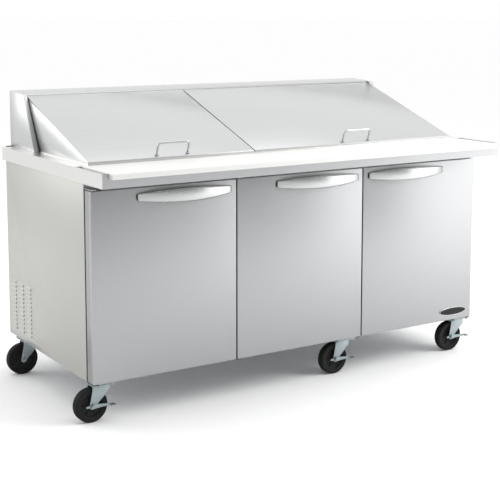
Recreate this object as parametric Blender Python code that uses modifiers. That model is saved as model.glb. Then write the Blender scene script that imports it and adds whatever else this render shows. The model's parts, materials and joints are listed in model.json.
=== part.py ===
"""Sandwich prep table: a three-door refrigerated counter with a pan well under two sloping lids.

The origin is on the floor below the middle of the table's box, which takes in the trailing
wheels at the left-hand end. X runs along the front from the left-hand end to the right-hand
end, Y runs from the front to the back, and Z is up.
Each sub-part is one named object. Moving sub-parts hang from empties on their joint axes.
"""

import math

import bmesh
import bpy
from mathutils import Matrix

# Driving dimensions, in metres.
WORKTOP_WIDTH = 1.836
OVERHANG = 0.015
DEPTH = 0.993
CLEARANCE = 0.150
DOOR_TOP = 0.852
WORKTOP_TOP = 0.931
SKIRT_HEIGHT = 0.053
HOOD_TOP = 1.162
SHEET = 0.0012
GAP = 0.0003

CABINET_WIDTH = WORKTOP_WIDTH - 2 * OVERHANG
HALF = CABINET_WIDTH / 2
BACK = DEPTH / 2
BOARD_FRONT = -DEPTH / 2

# Doors: three equal modules, slabs with a gasket behind them.
DOOR_FRONT = BOARD_FRONT + 0.155
DOOR_THICK = 0.052
DOOR_BACK = DOOR_FRONT + DOOR_THICK
GASKET_THICK = 0.0085
FRAME_FRONT = DOOR_BACK + GASKET_THICK + 2 * GAP
FRAME_BACK = FRAME_FRONT + 0.004
MODULE = CABINET_WIDTH / 3
DOOR_GAP = 0.005
PIVOT_INSET = 0.010
PIN_RADIUS = 0.004
HANDLE_LENGTH = 0.392
HANDLE_BOW = 0.040
HANDLE_Z = 0.818

# Cutting board and the shelf it lies on, in front of the pan well.
BOARD_HALF = 0.891
BOARD_BACK = -0.238
BOARD_THICK = 0.020
SKIRT_FRONT = BOARD_FRONT + 0.025
TRAY_TOP = WORKTOP_TOP - BOARD_THICK - GAP

# Pan well, in the worktop, the foam and the liner.
WELL_HALF = 0.843
WELL_FRONT = -0.225
WELL_BACK = 0.321
RIM_TOP = 0.9365

# Lids: a wedge from the front edge up to a hinge rod along the hood.
LID_ENDS = (-0.8625, -0.1510, 0.8625)
LID_GAP = 0.005
LID_FRONT = -0.232
LID_BOTTOM = 0.937
LID_LIP = 0.005
HINGE_Y = 0.350
HINGE_Z = 1.1405
ROD_RADIUS = 0.0025

# Rear hood: its top falls a little towards the front.
HOOD_HALF = 0.8813
HOOD_NOSE = 0.345
HOOD_NOSE_TOP = 1.153
HOOD_FRONT = 0.3615
HOOD_BACK = BACK - 0.003
HOOD_FOOT = 0.2365
CHEEK_INSIDE = 0.8650

# Insulated space inside the cabinet, and the machine space at its rear left.
CAVITY_HALF = 0.850
CAVITY_BACK = BACK - 0.060
CAVITY_FLOOR = 0.205
CAVITY_TOP = 0.862
STEP_FRONT = 0.165
STEP_SIDE = -0.280
STEP_TOP = 0.470
WALL = 0.050
LINER = 0.0008

# Casters.
WHEEL_RADIUS = 0.0635
WHEEL_HALF = 0.016
AXLE_RADIUS = 0.004
TRAIL = 0.038
CASTER_X = (-0.858, 0.229, 0.858)
CASTER_Y = (-0.290, 0.385)
RAIL_BOTTOM = 0.1456
ROUND_STEPS = 24

# Everything is laid out about the middle of the worktop, then moved by this much along X.
BOX_SHIFT = (WHEEL_RADIUS + TRAIL - CASTER_X[0] - WORKTOP_WIDTH / 2) / 2

PARTS = "sandwich_prep_table"
CUTTERS = "cutters"

# Name: (colour, metallic, roughness)
FINISHES = {
    "stainless": ((0.62, 0.62, 0.61), 1.0, 0.32),
    "galvanised": ((0.55, 0.56, 0.57), 1.0, 0.45),
    "zinc": ((0.50, 0.55, 0.56), 1.0, 0.40),
    "chrome": ((0.80, 0.80, 0.80), 1.0, 0.12),
    "white_board": ((0.88, 0.88, 0.86), 0.0, 0.50),
    "foam": ((0.80, 0.72, 0.50), 0.0, 0.90),
    "black_plastic": ((0.03, 0.03, 0.03), 0.0, 0.50),
    "black_rubber": ((0.02, 0.02, 0.02), 0.0, 0.70),
    "black_enamel": ((0.02, 0.02, 0.02), 0.3, 0.30),
    "copper_fin": ((0.60, 0.58, 0.55), 1.0, 0.50),
    "white_liner": ((0.80, 0.80, 0.80), 0.0, 0.45),
}


def clear_scene():
    for obj in list(bpy.data.objects):
        bpy.data.objects.remove(obj, do_unlink=True)
    for name in (PARTS, CUTTERS):
        collection = bpy.data.collections.new(name)
        bpy.context.scene.collection.children.link(collection)


def finish(name):
    """The material of that name, made the first time it is asked for."""
    if name in bpy.data.materials:
        return bpy.data.materials[name]
    colour, metallic, roughness = FINISHES[name]
    material = bpy.data.materials.new(name)
    material.use_nodes = True
    shader = material.node_tree.nodes["Principled BSDF"]
    shader.inputs["Base Color"].default_value = (*colour, 1.0)
    shader.inputs["Metallic"].default_value = metallic
    shader.inputs["Roughness"].default_value = roughness
    return material


def add_object(name, data, finish_name=None, location=(0.0, 0.0, 0.0)):
    """A sub-part if it has a finish, or else a cutter."""
    obj = bpy.data.objects.new(name, data)
    obj.location = location
    if finish_name is None:
        obj.hide_render = True
        obj.display_type = "WIRE"
        bpy.data.collections[CUTTERS].objects.link(obj)
    else:
        data.materials.append(finish(finish_name))
        bpy.data.collections[PARTS].objects.link(obj)
    return obj


def mesh_from(name, build):
    """A mesh made by calling build with an empty bmesh."""
    mesh = bpy.data.meshes.new(name)
    bm = bmesh.new()
    build(bm)
    bm.to_mesh(mesh)
    bm.free()
    return mesh


def box(name, low, high, finish_name=None):
    """A block between two corners, with its origin in its middle."""
    size = [b - a for a, b in zip(low, high)]
    middle = [(a + b) / 2 for a, b in zip(low, high)]

    def build(bm):
        bmesh.ops.create_cube(bm, size=1.0, matrix=Matrix.Diagonal((*size, 1.0)))

    return add_object(name, mesh_from(name, build), finish_name, middle)


def boxes(name, corners):
    """A cutter of several blocks that don't meet."""
    def build(bm):
        for low, high in corners:
            size = [b - a for a, b in zip(low, high)]
            middle = [(a + b) / 2 for a, b in zip(low, high)]
            place = Matrix.Translation(middle) @ Matrix.Diagonal((*size, 1.0))
            bmesh.ops.create_cube(bm, size=1.0, matrix=place)

    return add_object(name, mesh_from(name, build))


def cylinder(name, start, end, radius, finish_name=None, segments=ROUND_STEPS):
    """A round bar from start to end along one of the three axes."""
    middle = [(a + b) / 2 for a, b in zip(start, end)]
    span = [b - a for a, b in zip(start, end)]
    axis = max(range(3), key=lambda i: abs(span[i]))
    quarter = math.pi / 2
    turn = (Matrix.Rotation(quarter, 4, "Y"), Matrix.Rotation(quarter, 4, "X"), Matrix())[axis]

    def build(bm):
        bmesh.ops.create_cone(bm, cap_ends=True, segments=segments, radius1=radius, radius2=radius,
                              depth=abs(span[axis]), matrix=turn)

    obj = add_object(name, mesh_from(name, build), finish_name, middle)
    shade(obj)
    return obj


def outline(name, points, start, end, axis, finish_name=None):
    """A flat outline pushed from start to end along X or Y, or Z.

    The points are (Y, Z) for axis X, (X, Z) for axis Y and (X, Y) for axis Z.
    """
    curve = bpy.data.curves.new(name, "CURVE")
    curve.dimensions = "2D"
    curve.fill_mode = "BOTH"
    curve.extrude = abs(end - start) / 2
    spline = curve.splines.new("POLY")
    spline.points.add(len(points) - 1)
    for point, (u, v) in zip(spline.points, points):
        point.co = (u, v, 0.0, 1.0)
    spline.use_cyclic_u = True
    turn = {
        "X": Matrix(((0, 0, 1, 0), (1, 0, 0, 0), (0, 1, 0, 0), (0, 0, 0, 1))),
        "Y": Matrix.Rotation(math.pi / 2, 4, "X"),
        "Z": Matrix(),
    }[axis]
    shift = {"X": (1, 0, 0), "Y": (0, 1, 0), "Z": (0, 0, 1)}[axis]
    middle = [(start + end) / 2 * s for s in shift]
    flat = bpy.data.objects.new(name + "_outline", curve)
    bpy.context.scene.collection.objects.link(flat)
    mesh = mesh_of(flat, turn)
    bpy.data.objects.remove(flat, do_unlink=True)
    mesh.name = name
    return add_object(name, mesh, finish_name, middle)


def mesh_of(obj, turn=Matrix()):
    """The evaluated mesh of a curve object, closed, in the object's frame after a turn."""
    graph = bpy.context.evaluated_depsgraph_get()
    mesh = bpy.data.meshes.new_from_object(obj.evaluated_get(graph))
    bm = bmesh.new()
    bm.from_mesh(mesh)
    bmesh.ops.remove_doubles(bm, verts=bm.verts, dist=1e-6)
    bmesh.ops.transform(bm, matrix=turn @ obj.matrix_world, verts=bm.verts)
    bmesh.ops.recalc_face_normals(bm, faces=bm.faces)
    bm.to_mesh(mesh)
    bm.free()
    mesh.materials.clear()
    return mesh


def turned(name, profile, axis, finish_name, location, closed=False):
    """A profile of (radius, height) points swept round an axis, given down its outer side."""
    def build(bm):
        rim = [bm.verts.new((r, 0.0, h)) for r, h in profile]
        for a, b in zip(rim, rim[1:] + rim[:1] if closed else rim[1:]):
            bm.edges.new((a, b))

    obj = add_object(name, mesh_from(name, build), finish_name, location)
    screw = obj.modifiers.new("turn", "SCREW")
    screw.axis = "Z"
    screw.steps = screw.render_steps = ROUND_STEPS
    screw.use_merge_vertices = True
    screw.merge_threshold = 1e-5
    screw.use_smooth_shade = False
    obj.rotation_euler = {"X": (0, math.pi / 2, 0), "Y": (math.pi / 2, 0, 0), "Z": (0, 0, 0)}[axis]
    return obj


def shade(obj):
    obj.data.shade_smooth()
    obj.data.set_sharp_from_angle(angle=math.radians(35))


def combine(target, others, operation):
    """Adds or takes away each of the other shapes, which become cutters."""
    for other in others:
        if other.name in bpy.data.collections[PARTS].objects:
            bpy.data.collections[PARTS].objects.unlink(other)
            bpy.data.collections[CUTTERS].objects.link(other)
            other.hide_render = True
            other.display_type = "WIRE"
        boolean = target.modifiers.new(operation.lower(), "BOOLEAN")
        boolean.operation = operation
        boolean.solver = "EXACT"
        boolean.object = other
    return target


def cut(target, *others):
    return combine(target, others, "DIFFERENCE")


def join(target, *others):
    return combine(target, others, "UNION")


def grow(low, high, by):
    """The two corners of a block, moved outwards, or inwards for a negative value."""
    return tuple(a - by for a in low), tuple(b + by for b in high)


def joint_at(name, location):
    """An empty on a joint's axis."""
    empty = bpy.data.objects.new(name, None)
    empty.location = location
    empty.empty_display_size = 0.03
    bpy.data.collections[PARTS].objects.link(empty)
    return empty


def hang(parent, *objects):
    """Hangs each object, with its cutters, from an empty without moving it."""
    for obj in objects:
        family = [obj] + [m.object for m in obj.modifiers if m.type == "BOOLEAN"]
        for member in family:
            member.parent = parent
            member.location = member.location - parent.location


# ---------------------------------------------------------------- cabinet

def side_panels():
    """Sheet panels with folded front and back edges; the left one has three columns of louvres."""
    low_z, high_z = CLEARANCE, TRAY_TOP - SHEET - 2 * GAP
    fold = 0.018
    for name, side in (("left_side_panel", -1), ("right_side_panel", 1)):
        outer = side * HALF
        inner = side * (HALF - SHEET)
        turn_in = side * (HALF - fold)
        front, back = FRAME_BACK + GAP, BACK - SHEET - GAP
        points = [
            (outer, front), (outer, back), (turn_in, back), (turn_in, back - SHEET),
            (inner, back - SHEET), (inner, front + SHEET), (turn_in, front + SHEET), (turn_in, front),
        ]
        panel = outline(name, points, low_z, high_z, "Z", "stainless")
        if side < 0:
            slots = []
            for column in (0.274, 0.355, 0.436):
                for row in range(12):
                    z = 0.180 + row * 0.0175
                    low = (-HALF - 0.01, column - 0.022, z)
                    high = (-HALF + 0.01, column + 0.022, z + 0.007)
                    slots.append((low, high))
            cut(panel, boxes("louvre_slots", slots))


def rear_panel():
    """Back sheet with a louvred field over the machine space and a hole for the power lead."""
    panel = box("rear_panel", (-HALF + GAP, BACK - SHEET, CLEARANCE),
                (HALF - GAP, BACK, TRAY_TOP - SHEET - 2 * GAP), "galvanised")
    slots = []
    for x in (-0.840, -0.680, -0.520):
        for row in range(11):
            z = 0.185 + row * 0.020
            slots.append(((x, BACK - 0.01, z), (x + 0.140, BACK + 0.01, z + 0.008)))
    inlet_x, inlet_z = -0.355, 0.200
    hole = cylinder("lead_hole", (inlet_x, BACK - 0.02, inlet_z), (inlet_x, BACK + 0.02, inlet_z),
                    0.010, segments=16)
    cut(panel, boxes("rear_slots", slots), hole)
    gland = cylinder("cord_inlet", (inlet_x, BACK - 0.034, inlet_z),
                     (inlet_x, BACK - SHEET - GAP, inlet_z), 0.014, "black_plastic", 16)
    bore = cylinder("cord_inlet_bore", (inlet_x, BACK - 0.05, inlet_z),
                    (inlet_x, BACK + 0.02, inlet_z), 0.005, segments=12)
    cut(gland, bore)


def base_pan():
    box("base_pan", (-HALF + SHEET + GAP, FRAME_BACK + 2 * GAP + SHEET, CLEARANCE),
        (HALF - SHEET - GAP, BACK - 2 * SHEET - 3 * GAP, CLEARANCE + SHEET), "galvanised")


def cavity_blocks():
    """The three blocks that together make the stepped cold space."""
    main = ((-CAVITY_HALF, FRAME_BACK - 0.02, CAVITY_FLOOR), (CAVITY_HALF, STEP_FRONT, CAVITY_TOP))
    above = ((-CAVITY_HALF, STEP_FRONT - 0.06, STEP_TOP), (CAVITY_HALF, CAVITY_BACK, CAVITY_TOP))
    beside = ((STEP_SIDE, STEP_FRONT - 0.06, CAVITY_FLOOR), (CAVITY_HALF, CAVITY_BACK, STEP_TOP + 0.03))
    return main, above, beside


def insulation():
    """Foam round the cold space, open at the front, with the pan well through its top."""
    front, side = FRAME_BACK + 2 * GAP + SHEET, HALF - SHEET - GAP
    foam = box("foam_insulation", (-side, front, CLEARANCE + 2 * SHEET),
               (side, BACK - 2 * SHEET - 3 * GAP, TRAY_TOP - SHEET - 3 * GAP), "foam")
    shapes = [box(f"foam_space_{i}", low, high) for i, (low, high) in enumerate(cavity_blocks())]
    well = box("foam_well", (-WELL_HALF, WELL_FRONT, CAVITY_TOP - 0.02), (WELL_HALF, WELL_BACK, 1.0))
    machine = box("foam_machine_space", (-1.0, STEP_FRONT + WALL, 0.1),
                  (STEP_SIDE - WALL, 0.6, STEP_TOP - WALL))
    cut(foam, *shapes, well, machine)


def liner():
    """Thin inner lining: a stepped shell open at the front, with a neck up round the pan well."""
    blocks = [grow(low, high, -GAP) for low, high in cavity_blocks()]
    front = FRAME_BACK + GAP
    first_low = (blocks[0][0][0], front, blocks[0][0][2])
    shell = box("inner_liner", first_low, blocks[0][1], "white_liner")
    others = [box(f"liner_block_{i}", *block) for i, block in enumerate(blocks[1:])]
    neck = 0.0005
    high_neck = box("liner_neck", (-WELL_HALF + neck, WELL_FRONT + neck, CAVITY_TOP - 0.02),
                    (WELL_HALF - neck, WELL_BACK - neck, WORKTOP_TOP - SHEET - 2 * GAP))
    join(shell, *others, high_neck)
    spaces = []
    for i, (low, high) in enumerate(grow(a, b, -GAP - LINER) for a, b in cavity_blocks()):
        spaces.append(box(f"liner_space_{i}", low, high))
    inside = neck + LINER
    through = box("liner_well", (-WELL_HALF + inside, WELL_FRONT + inside, CAVITY_TOP - 0.05),
                  (WELL_HALF - inside, WELL_BACK - inside, 1.0))
    cut(shell, *spaces, through)


def frame_openings():
    """The three door openings in the face frame, as (left, right) in X."""
    post = 0.044
    edges = (-CAVITY_HALF - 0.003, -MODULE / 2 - post, -MODULE / 2 + post,
             MODULE / 2 - post, MODULE / 2 + post, CAVITY_HALF + 0.003)
    return [(edges[0], edges[1]), (edges[2], edges[3]), (edges[4], edges[5])]


def face_frame():
    """Front plate the gaskets close on, with two hollow posts and the upper hinge lugs."""
    frame = box("face_frame", (-HALF, FRAME_FRONT, CLEARANCE),
                (HALF, FRAME_BACK, TRAY_TOP - SHEET - 2 * GAP), "stainless")
    holes = [((left, FRAME_FRONT - 0.01, CAVITY_FLOOR - 0.005), (right, FRAME_BACK + 0.01, 0.805))
             for left, right in frame_openings()]
    cut(frame, boxes("door_openings", holes))
    for i, x in enumerate((-MODULE / 2, MODULE / 2)):
        post = box(f"post_{i}", (x - 0.040, FRAME_BACK - 0.001, CAVITY_FLOOR + 0.003),
                   (x + 0.040, FRAME_BACK + 0.040, CAVITY_TOP - 0.004))
        join(frame, post)
    for i in range(3):
        x, y = pivot_of(i)
        lug = box(f"lug_{i}", (x - 0.008, y - 0.006, DOOR_TOP + 0.0025),
                  (x + 0.012, FRAME_BACK - 0.001, DOOR_TOP + 0.0055))
        pin = cylinder(f"upper_pin_{i}", (x, y, DOOR_TOP - 0.010), (x, y, DOOR_TOP + 0.004),
                       PIN_RADIUS, segments=16)
        join(frame, lug, pin)


def worktop():
    """Folded sheet top: deep skirts, a lowered shelf for the board, and a raised rim round the well."""
    half = WORKTOP_WIDTH / 2
    low_z = WORKTOP_TOP - SKIRT_HEIGHT
    lip = 0.0255
    top = box("worktop", (-half, SKIRT_FRONT, low_z), (half, BACK, WORKTOP_TOP), "stainless")
    under = box("under_top", (-half + SHEET, SKIRT_FRONT + SHEET, low_z - 0.01),
                (half - SHEET, BACK + 0.01, WORKTOP_TOP - SHEET))
    over_tray = box("over_tray", (-half + SHEET, SKIRT_FRONT + SHEET, TRAY_TOP - SHEET),
                    (half - SHEET, BOARD_BACK + 0.001, WORKTOP_TOP + 0.01))
    over_skirt = box("over_skirt", (-half + lip, SKIRT_FRONT - 0.01, TRAY_TOP),
                     (half - lip, SKIRT_FRONT + 0.01, WORKTOP_TOP + 0.01))
    cut(top, under, over_tray)
    tray = box("tray", (-half + SHEET / 2, SKIRT_FRONT + SHEET / 2, TRAY_TOP - SHEET),
               (half - SHEET / 2, BOARD_BACK + 0.0015, TRAY_TOP))
    riser = box("riser", (-half + SHEET / 2, BOARD_BACK + 0.0005, TRAY_TOP - SHEET / 2),
                (half - SHEET / 2, BOARD_BACK + 0.0005 + SHEET, WORKTOP_TOP - SHEET / 2))
    join(top, tray, riser)
    rim = box("rim", (-WELL_HALF - 0.019, LID_FRONT + 0.001, WORKTOP_TOP - SHEET / 2),
              (WELL_HALF + 0.019, WELL_BACK + 0.009, RIM_TOP))
    join(top, rim)
    cut(top, over_skirt)
    well = box("worktop_well", (-WELL_HALF, WELL_FRONT, low_z - 0.01), (WELL_HALF, WELL_BACK, 1.0))
    cut(top, well)


def pan_support_bar():
    middle = LID_ENDS[1]
    inset = 0.0005 + LINER + GAP
    box("pan_support_bar", (middle - 0.011, WELL_FRONT + inset, 0.905),
        (middle + 0.011, WELL_BACK - inset, WORKTOP_TOP), "stainless")


def hood_top_at(y):
    """The height of the hood's top at a place along Y."""
    return HOOD_NOSE_TOP + (HOOD_TOP - HOOD_NOSE_TOP) * (y - HOOD_NOSE) / (HOOD_BACK - HOOD_NOSE)


def hood_outline(inset=0.0):
    """Side view of the hood: its front edge leans back from the foot to the nose."""
    lean = (HOOD_NOSE - HOOD_FOOT) / (HOOD_NOSE_TOP - WORKTOP_TOP)
    foot = HOOD_FOOT + inset * math.hypot(1.0, lean)
    low, high = WORKTOP_TOP + GAP, HOOD_NOSE_TOP - inset
    if inset:
        low -= 0.02
    return [(foot + (low - WORKTOP_TOP) * lean, low), (foot + (high - WORKTOP_TOP) * lean, high),
            (HOOD_BACK - inset, HOOD_TOP - inset), (HOOD_BACK - inset, low)]


def rear_hood():
    """Hollow sheet hood with two boxed cheeks that hold the ends of the lids' hinge rod."""
    hood = outline("rear_hood", hood_outline(), -HOOD_HALF, HOOD_HALF, "X", "stainless")
    hollow = outline("hood_hollow", hood_outline(SHEET), -HOOD_HALF + SHEET, HOOD_HALF - SHEET, "X")
    lid_space = box("hood_lid_space", (-CHEEK_INSIDE, HOOD_FOOT - 0.05, 0.9),
                    (CHEEK_INSIDE, HOOD_FRONT, 1.2))
    cut(hood, hollow, lid_space)
    front = box("hood_front", (-CHEEK_INSIDE - SHEET / 2, HOOD_FRONT, WORKTOP_TOP + GAP),
                (CHEEK_INSIDE + SHEET / 2, HOOD_FRONT + SHEET, hood_top_at(HOOD_FRONT) - SHEET / 2))
    join(hood, front)
    seam = hood_outline(SHEET / 2)
    low, cheek_back = WORKTOP_TOP + GAP, HOOD_FRONT + SHEET / 2
    cheek = [(seam[0][0], low), seam[1], (cheek_back, hood_top_at(cheek_back) - SHEET / 2),
             (cheek_back, low)]
    for i, side in enumerate((-1, 1)):
        x = side * (CHEEK_INSIDE + SHEET / 2)
        join(hood, outline(f"hood_cheek_{i}", cheek, x - SHEET / 2, x + SHEET / 2, "X"))
    reach = CHEEK_INSIDE + 0.008
    join(hood, cylinder("hinge_rod", (-reach, HINGE_Y, HINGE_Z), (reach, HINGE_Y, HINGE_Z),
                        ROD_RADIUS, segments=12))


def machine():
    """Compressor, condenser with its fan shroud, and the evaporator's housing."""
    floor = CLEARANCE + SHEET + GAP
    compressor = turned("compressor", [(0.0, 0.165), (0.045, 0.158), (0.072, 0.135), (0.080, 0.100),
                                       (0.080, 0.040), (0.070, 0.015), (0.070, 0.0), (0.0, 0.0)],
                        "Z", "black_enamel", (-0.500, 0.355, floor + 0.012))
    join(compressor, box("compressor_foot", (-0.600, 0.290, floor), (-0.400, 0.420, floor + 0.014)))
    coil = box("condenser_coil", (-0.880, 0.245, floor), (-0.835, 0.465, 0.385), "copper_fin")
    hub_y, hub_z = 0.355, 0.268
    shroud = box("condenser_shroud", (-0.836, 0.245, floor), (-0.812, 0.465, 0.385))
    join(coil, shroud)
    throat = cylinder("shroud_throat", (-0.834, hub_y, hub_z), (-0.80, hub_y, hub_z), 0.096)
    cut(coil, throat)
    fan("condenser_fan", (-0.823, hub_y, hub_z), 0.090, "X")

    hub_x, hub_z = 0.160, 0.710
    housing = box("evaporator_housing", (-0.100, 0.375, 0.580),
                  (0.420, CAVITY_BACK - 2 * GAP - LINER, 0.840), "white_liner")
    cut(housing, cylinder("evaporator_throat", (hub_x, 0.36, hub_z), (hub_x, 0.405, hub_z), 0.096))
    fan("evaporator_fan", (hub_x, 0.388, hub_z), 0.090, "Y")


def fan(name, centre, radius, axis):
    """Hub with five pitched blades, turning about its own axis."""
    hub_radius, hub_half, blades = 0.026, 0.007, 5
    turn = {"X": Matrix.Rotation(math.pi / 2, 4, "Y"), "Y": Matrix.Rotation(math.pi / 2, 4, "X")}[axis]

    def build_hub(bm):
        bmesh.ops.create_cone(bm, cap_ends=True, segments=ROUND_STEPS, radius1=hub_radius,
                              radius2=hub_radius, depth=2 * hub_half, matrix=turn)

    hub = add_object(name, mesh_from(name, build_hub), "black_plastic")
    length = radius - hub_radius + 0.004

    for i in range(blades):
        spoke = Matrix.Rotation(math.tau * i / blades, 4, "Z")
        place = spoke @ Matrix.Translation((hub_radius - 0.004 + length / 2, 0, 0))
        place = turn @ place @ Matrix.Rotation(math.radians(22), 4, "X")
        size = Matrix.Diagonal((length, 0.030, 0.0022, 1.0))

        def build_blade(bm, place=place, size=size):
            bmesh.ops.create_cube(bm, size=1.0, matrix=place @ size)

        blade_name = f"{name}_blade_{i}"
        join(hub, add_object(blade_name, mesh_from(blade_name, build_blade)))
    axis_empty = joint_at(name + "_axis", centre)
    hub.parent = axis_empty
    for modifier in hub.modifiers:
        modifier.object.parent = axis_empty


def shelves():
    """One flat wire shelf in each section, as a plate with the gaps between its wires cut out."""
    openings = ((-0.836, -0.312, 0.152), (-0.274, 0.290, 0.355), (0.312, 0.836, 0.355))
    wire, z, front = 0.006, 0.430, -0.222
    for i, (left, right, back) in enumerate(openings):
        shelf = box(f"shelf_{i + 1}", (left, front, z), (right, back, z + 0.006), "chrome")
        count = 13
        pitch = (right - left - wire) / count
        rows = 2 if back > 0.2 else 1
        step = (back - front - wire) / rows
        slots = []
        for column in range(count):
            for row in range(rows):
                low = (left + wire + column * pitch, front + wire + row * step, z - 0.01)
                high = (left + (column + 1) * pitch, front + (row + 1) * step, z + 0.02)
                slots.append((low, high))
        cut(shelf, boxes(f"shelf_{i + 1}_gaps", slots))


# ---------------------------------------------------------------- doors

def door_span(i):
    """The left and right edges of door i."""
    left = -HALF + i * MODULE + (DOOR_GAP / 2 if i > 0 else 0.0)
    right = -HALF + (i + 1) * MODULE - (DOOR_GAP / 2 if i < 2 else 0.0)
    return left, right


def hinge_side(i):
    """-1 for a door hinged on its left edge, 1 for one hinged on its right edge."""
    return 1 if i == 2 else -1


def pivot_of(i):
    left, right = door_span(i)
    x = left + PIVOT_INSET if hinge_side(i) < 0 else right - PIVOT_INSET
    return x, DOOR_FRONT + PIVOT_INSET


def door(i):
    """Steel skin, foamed inner panel, gasket ring and bowed handle, hung on one vertical axis."""
    name = f"door_{i + 1}"
    left, right = door_span(i)
    x, y = pivot_of(i)
    bores = [cylinder(f"{name}_bore_{k}_{end}", (x, y, z - 0.013), (x, y, z + 0.013),
                      PIN_RADIUS + 0.0006, segments=16)
             for k in range(2) for end, z in enumerate((CLEARANCE, DOOR_TOP))]

    skin = box(f"{name}_skin", (left, DOOR_FRONT, CLEARANCE), (right, DOOR_BACK, DOOR_TOP),
               "stainless")
    inside = box(f"{name}_skin_inside", (left + 0.001, DOOR_FRONT + 0.001, CLEARANCE + 0.001),
                 (right - 0.001, DOOR_BACK + 0.01, DOOR_TOP - 0.001))
    cut(skin, inside, *bores[:2])

    edge = 0.001 + GAP
    panel = box(f"{name}_inner_panel", (left + edge, DOOR_FRONT + edge, CLEARANCE + edge),
                (right - edge, DOOR_BACK, DOOR_TOP - edge), "white_liner")
    dish = box(f"{name}_dish", (left + 0.055, DOOR_BACK - 0.010, CLEARANCE + 0.060),
               (right - 0.055, DOOR_BACK + 0.01, DOOR_TOP - 0.055))
    cut(panel, dish, *bores[2:])

    ring_in, ring_width = 0.018, 0.020
    ring_low = (left + ring_in, DOOR_BACK + GAP, CLEARANCE + ring_in)
    ring_high = (right - ring_in, DOOR_BACK + GAP + GASKET_THICK, DOOR_TOP - ring_in)
    gasket = box(f"{name}_gasket", ring_low, ring_high, "black_rubber")
    hole_low = (ring_low[0] + ring_width, ring_low[1] - 0.01, ring_low[2] + ring_width)
    hole_high = (ring_high[0] - ring_width, ring_high[1] + 0.01, ring_high[2] - ring_width)
    cut(gasket, box(f"{name}_gasket_hole", hole_low, hole_high))

    handle = door_handle(f"{name}_handle", i)
    hang(joint_at(f"{name}_axis", (x, y, CLEARANCE)), skin, panel, gasket, handle)
    hinge_bracket(name, i)


def door_handle(name, i):
    """A strip bowed out from the door and widest at its middle, set near the door's free edge."""
    left, right = door_span(i)
    inset, end_half, middle_half, thick, steps = 0.026, 0.0125, 0.025, 0.003, 14
    reach = inset + HANDLE_LENGTH / 2
    middle_x = right - reach if hinge_side(i) < 0 else left + reach
    base = DOOR_FRONT - GAP - thick

    def build(bm):
        bmesh.ops.create_grid(bm, x_segments=steps, y_segments=1, size=0.5)
        for vert in bm.verts:
            t = 2 * vert.co.x
            swell = math.cos(t * math.pi / 2) ** 0.8 if abs(t) < 1 else 0.0
            height = end_half + (middle_half - end_half) * (1 - t * t)
            vert.co = (t * HANDLE_LENGTH / 2, -HANDLE_BOW * swell, math.copysign(height, vert.co.y))
        bmesh.ops.recalc_face_normals(bm, faces=bm.faces)

    handle = add_object(name, mesh_from(name, build), "stainless", (middle_x, base, HANDLE_Z))
    wall = handle.modifiers.new("thickness", "SOLIDIFY")
    wall.thickness = thick
    wall.offset = 1.0
    return handle


def hinge_bracket(door_name, i):
    """Lower hinge: an angle on the face frame with a pin up into the door."""
    x, y = pivot_of(i)
    side = hinge_side(i)
    near, far = x + side * 0.008, x - side * 0.010
    low_x, high_x = min(near, far), max(near, far)
    leg_back = FRAME_FRONT - GAP
    bracket = box(f"{door_name}_hinge_bracket", (low_x, y - 0.007, CLEARANCE - 0.0035),
                  (high_x, leg_back, CLEARANCE - 0.0005), "black_enamel")
    leg = box(f"{door_name}_bracket_leg", (low_x, leg_back - 0.0025, CLEARANCE - 0.0020),
              (high_x, leg_back, CLEARANCE + 0.016))
    pin = cylinder(f"{door_name}_lower_pin", (x, y, CLEARANCE - 0.002), (x, y, CLEARANCE + 0.011),
                   PIN_RADIUS, segments=16)
    join(bracket, leg, pin)


def badge():
    """Blank oval plate near the lower right corner of the third door."""
    long, short, thick = 0.075, 0.0175, 0.0025
    points = [(0.800 + long * math.cos(a), 0.1880 + short * math.sin(a))
              for a in (math.tau * k / 32 for k in range(32))]
    plate = outline("badge_plate", points, DOOR_FRONT - GAP - thick, DOOR_FRONT - GAP, "Y",
                    "black_plastic")
    hang(bpy.data.objects["door_3_axis"], plate)


# ---------------------------------------------------------------- lids and board

def lid_slope():
    """The slope of the lid's top, which passes 5 mm above the hinge axis."""
    dy, dz = HINGE_Y - LID_FRONT, HINGE_Z - (LID_BOTTOM + LID_LIP)
    return math.atan2(dz, dy) + math.asin(0.005 / math.hypot(dy, dz))


def lid_outline():
    slope = lid_slope()
    along = (math.cos(slope), math.sin(slope))
    above, past = 0.005, 0.006
    corner = (HINGE_Y - above * along[1] + past * along[0], HINGE_Z + above * along[0] + past * along[1])
    return [(LID_FRONT, LID_BOTTOM), (LID_FRONT, LID_BOTTOM + LID_LIP), corner,
            (HINGE_Y + 0.0065, HINGE_Z - 0.004), (HOOD_FOOT - 0.003, LID_BOTTOM)]


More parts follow.
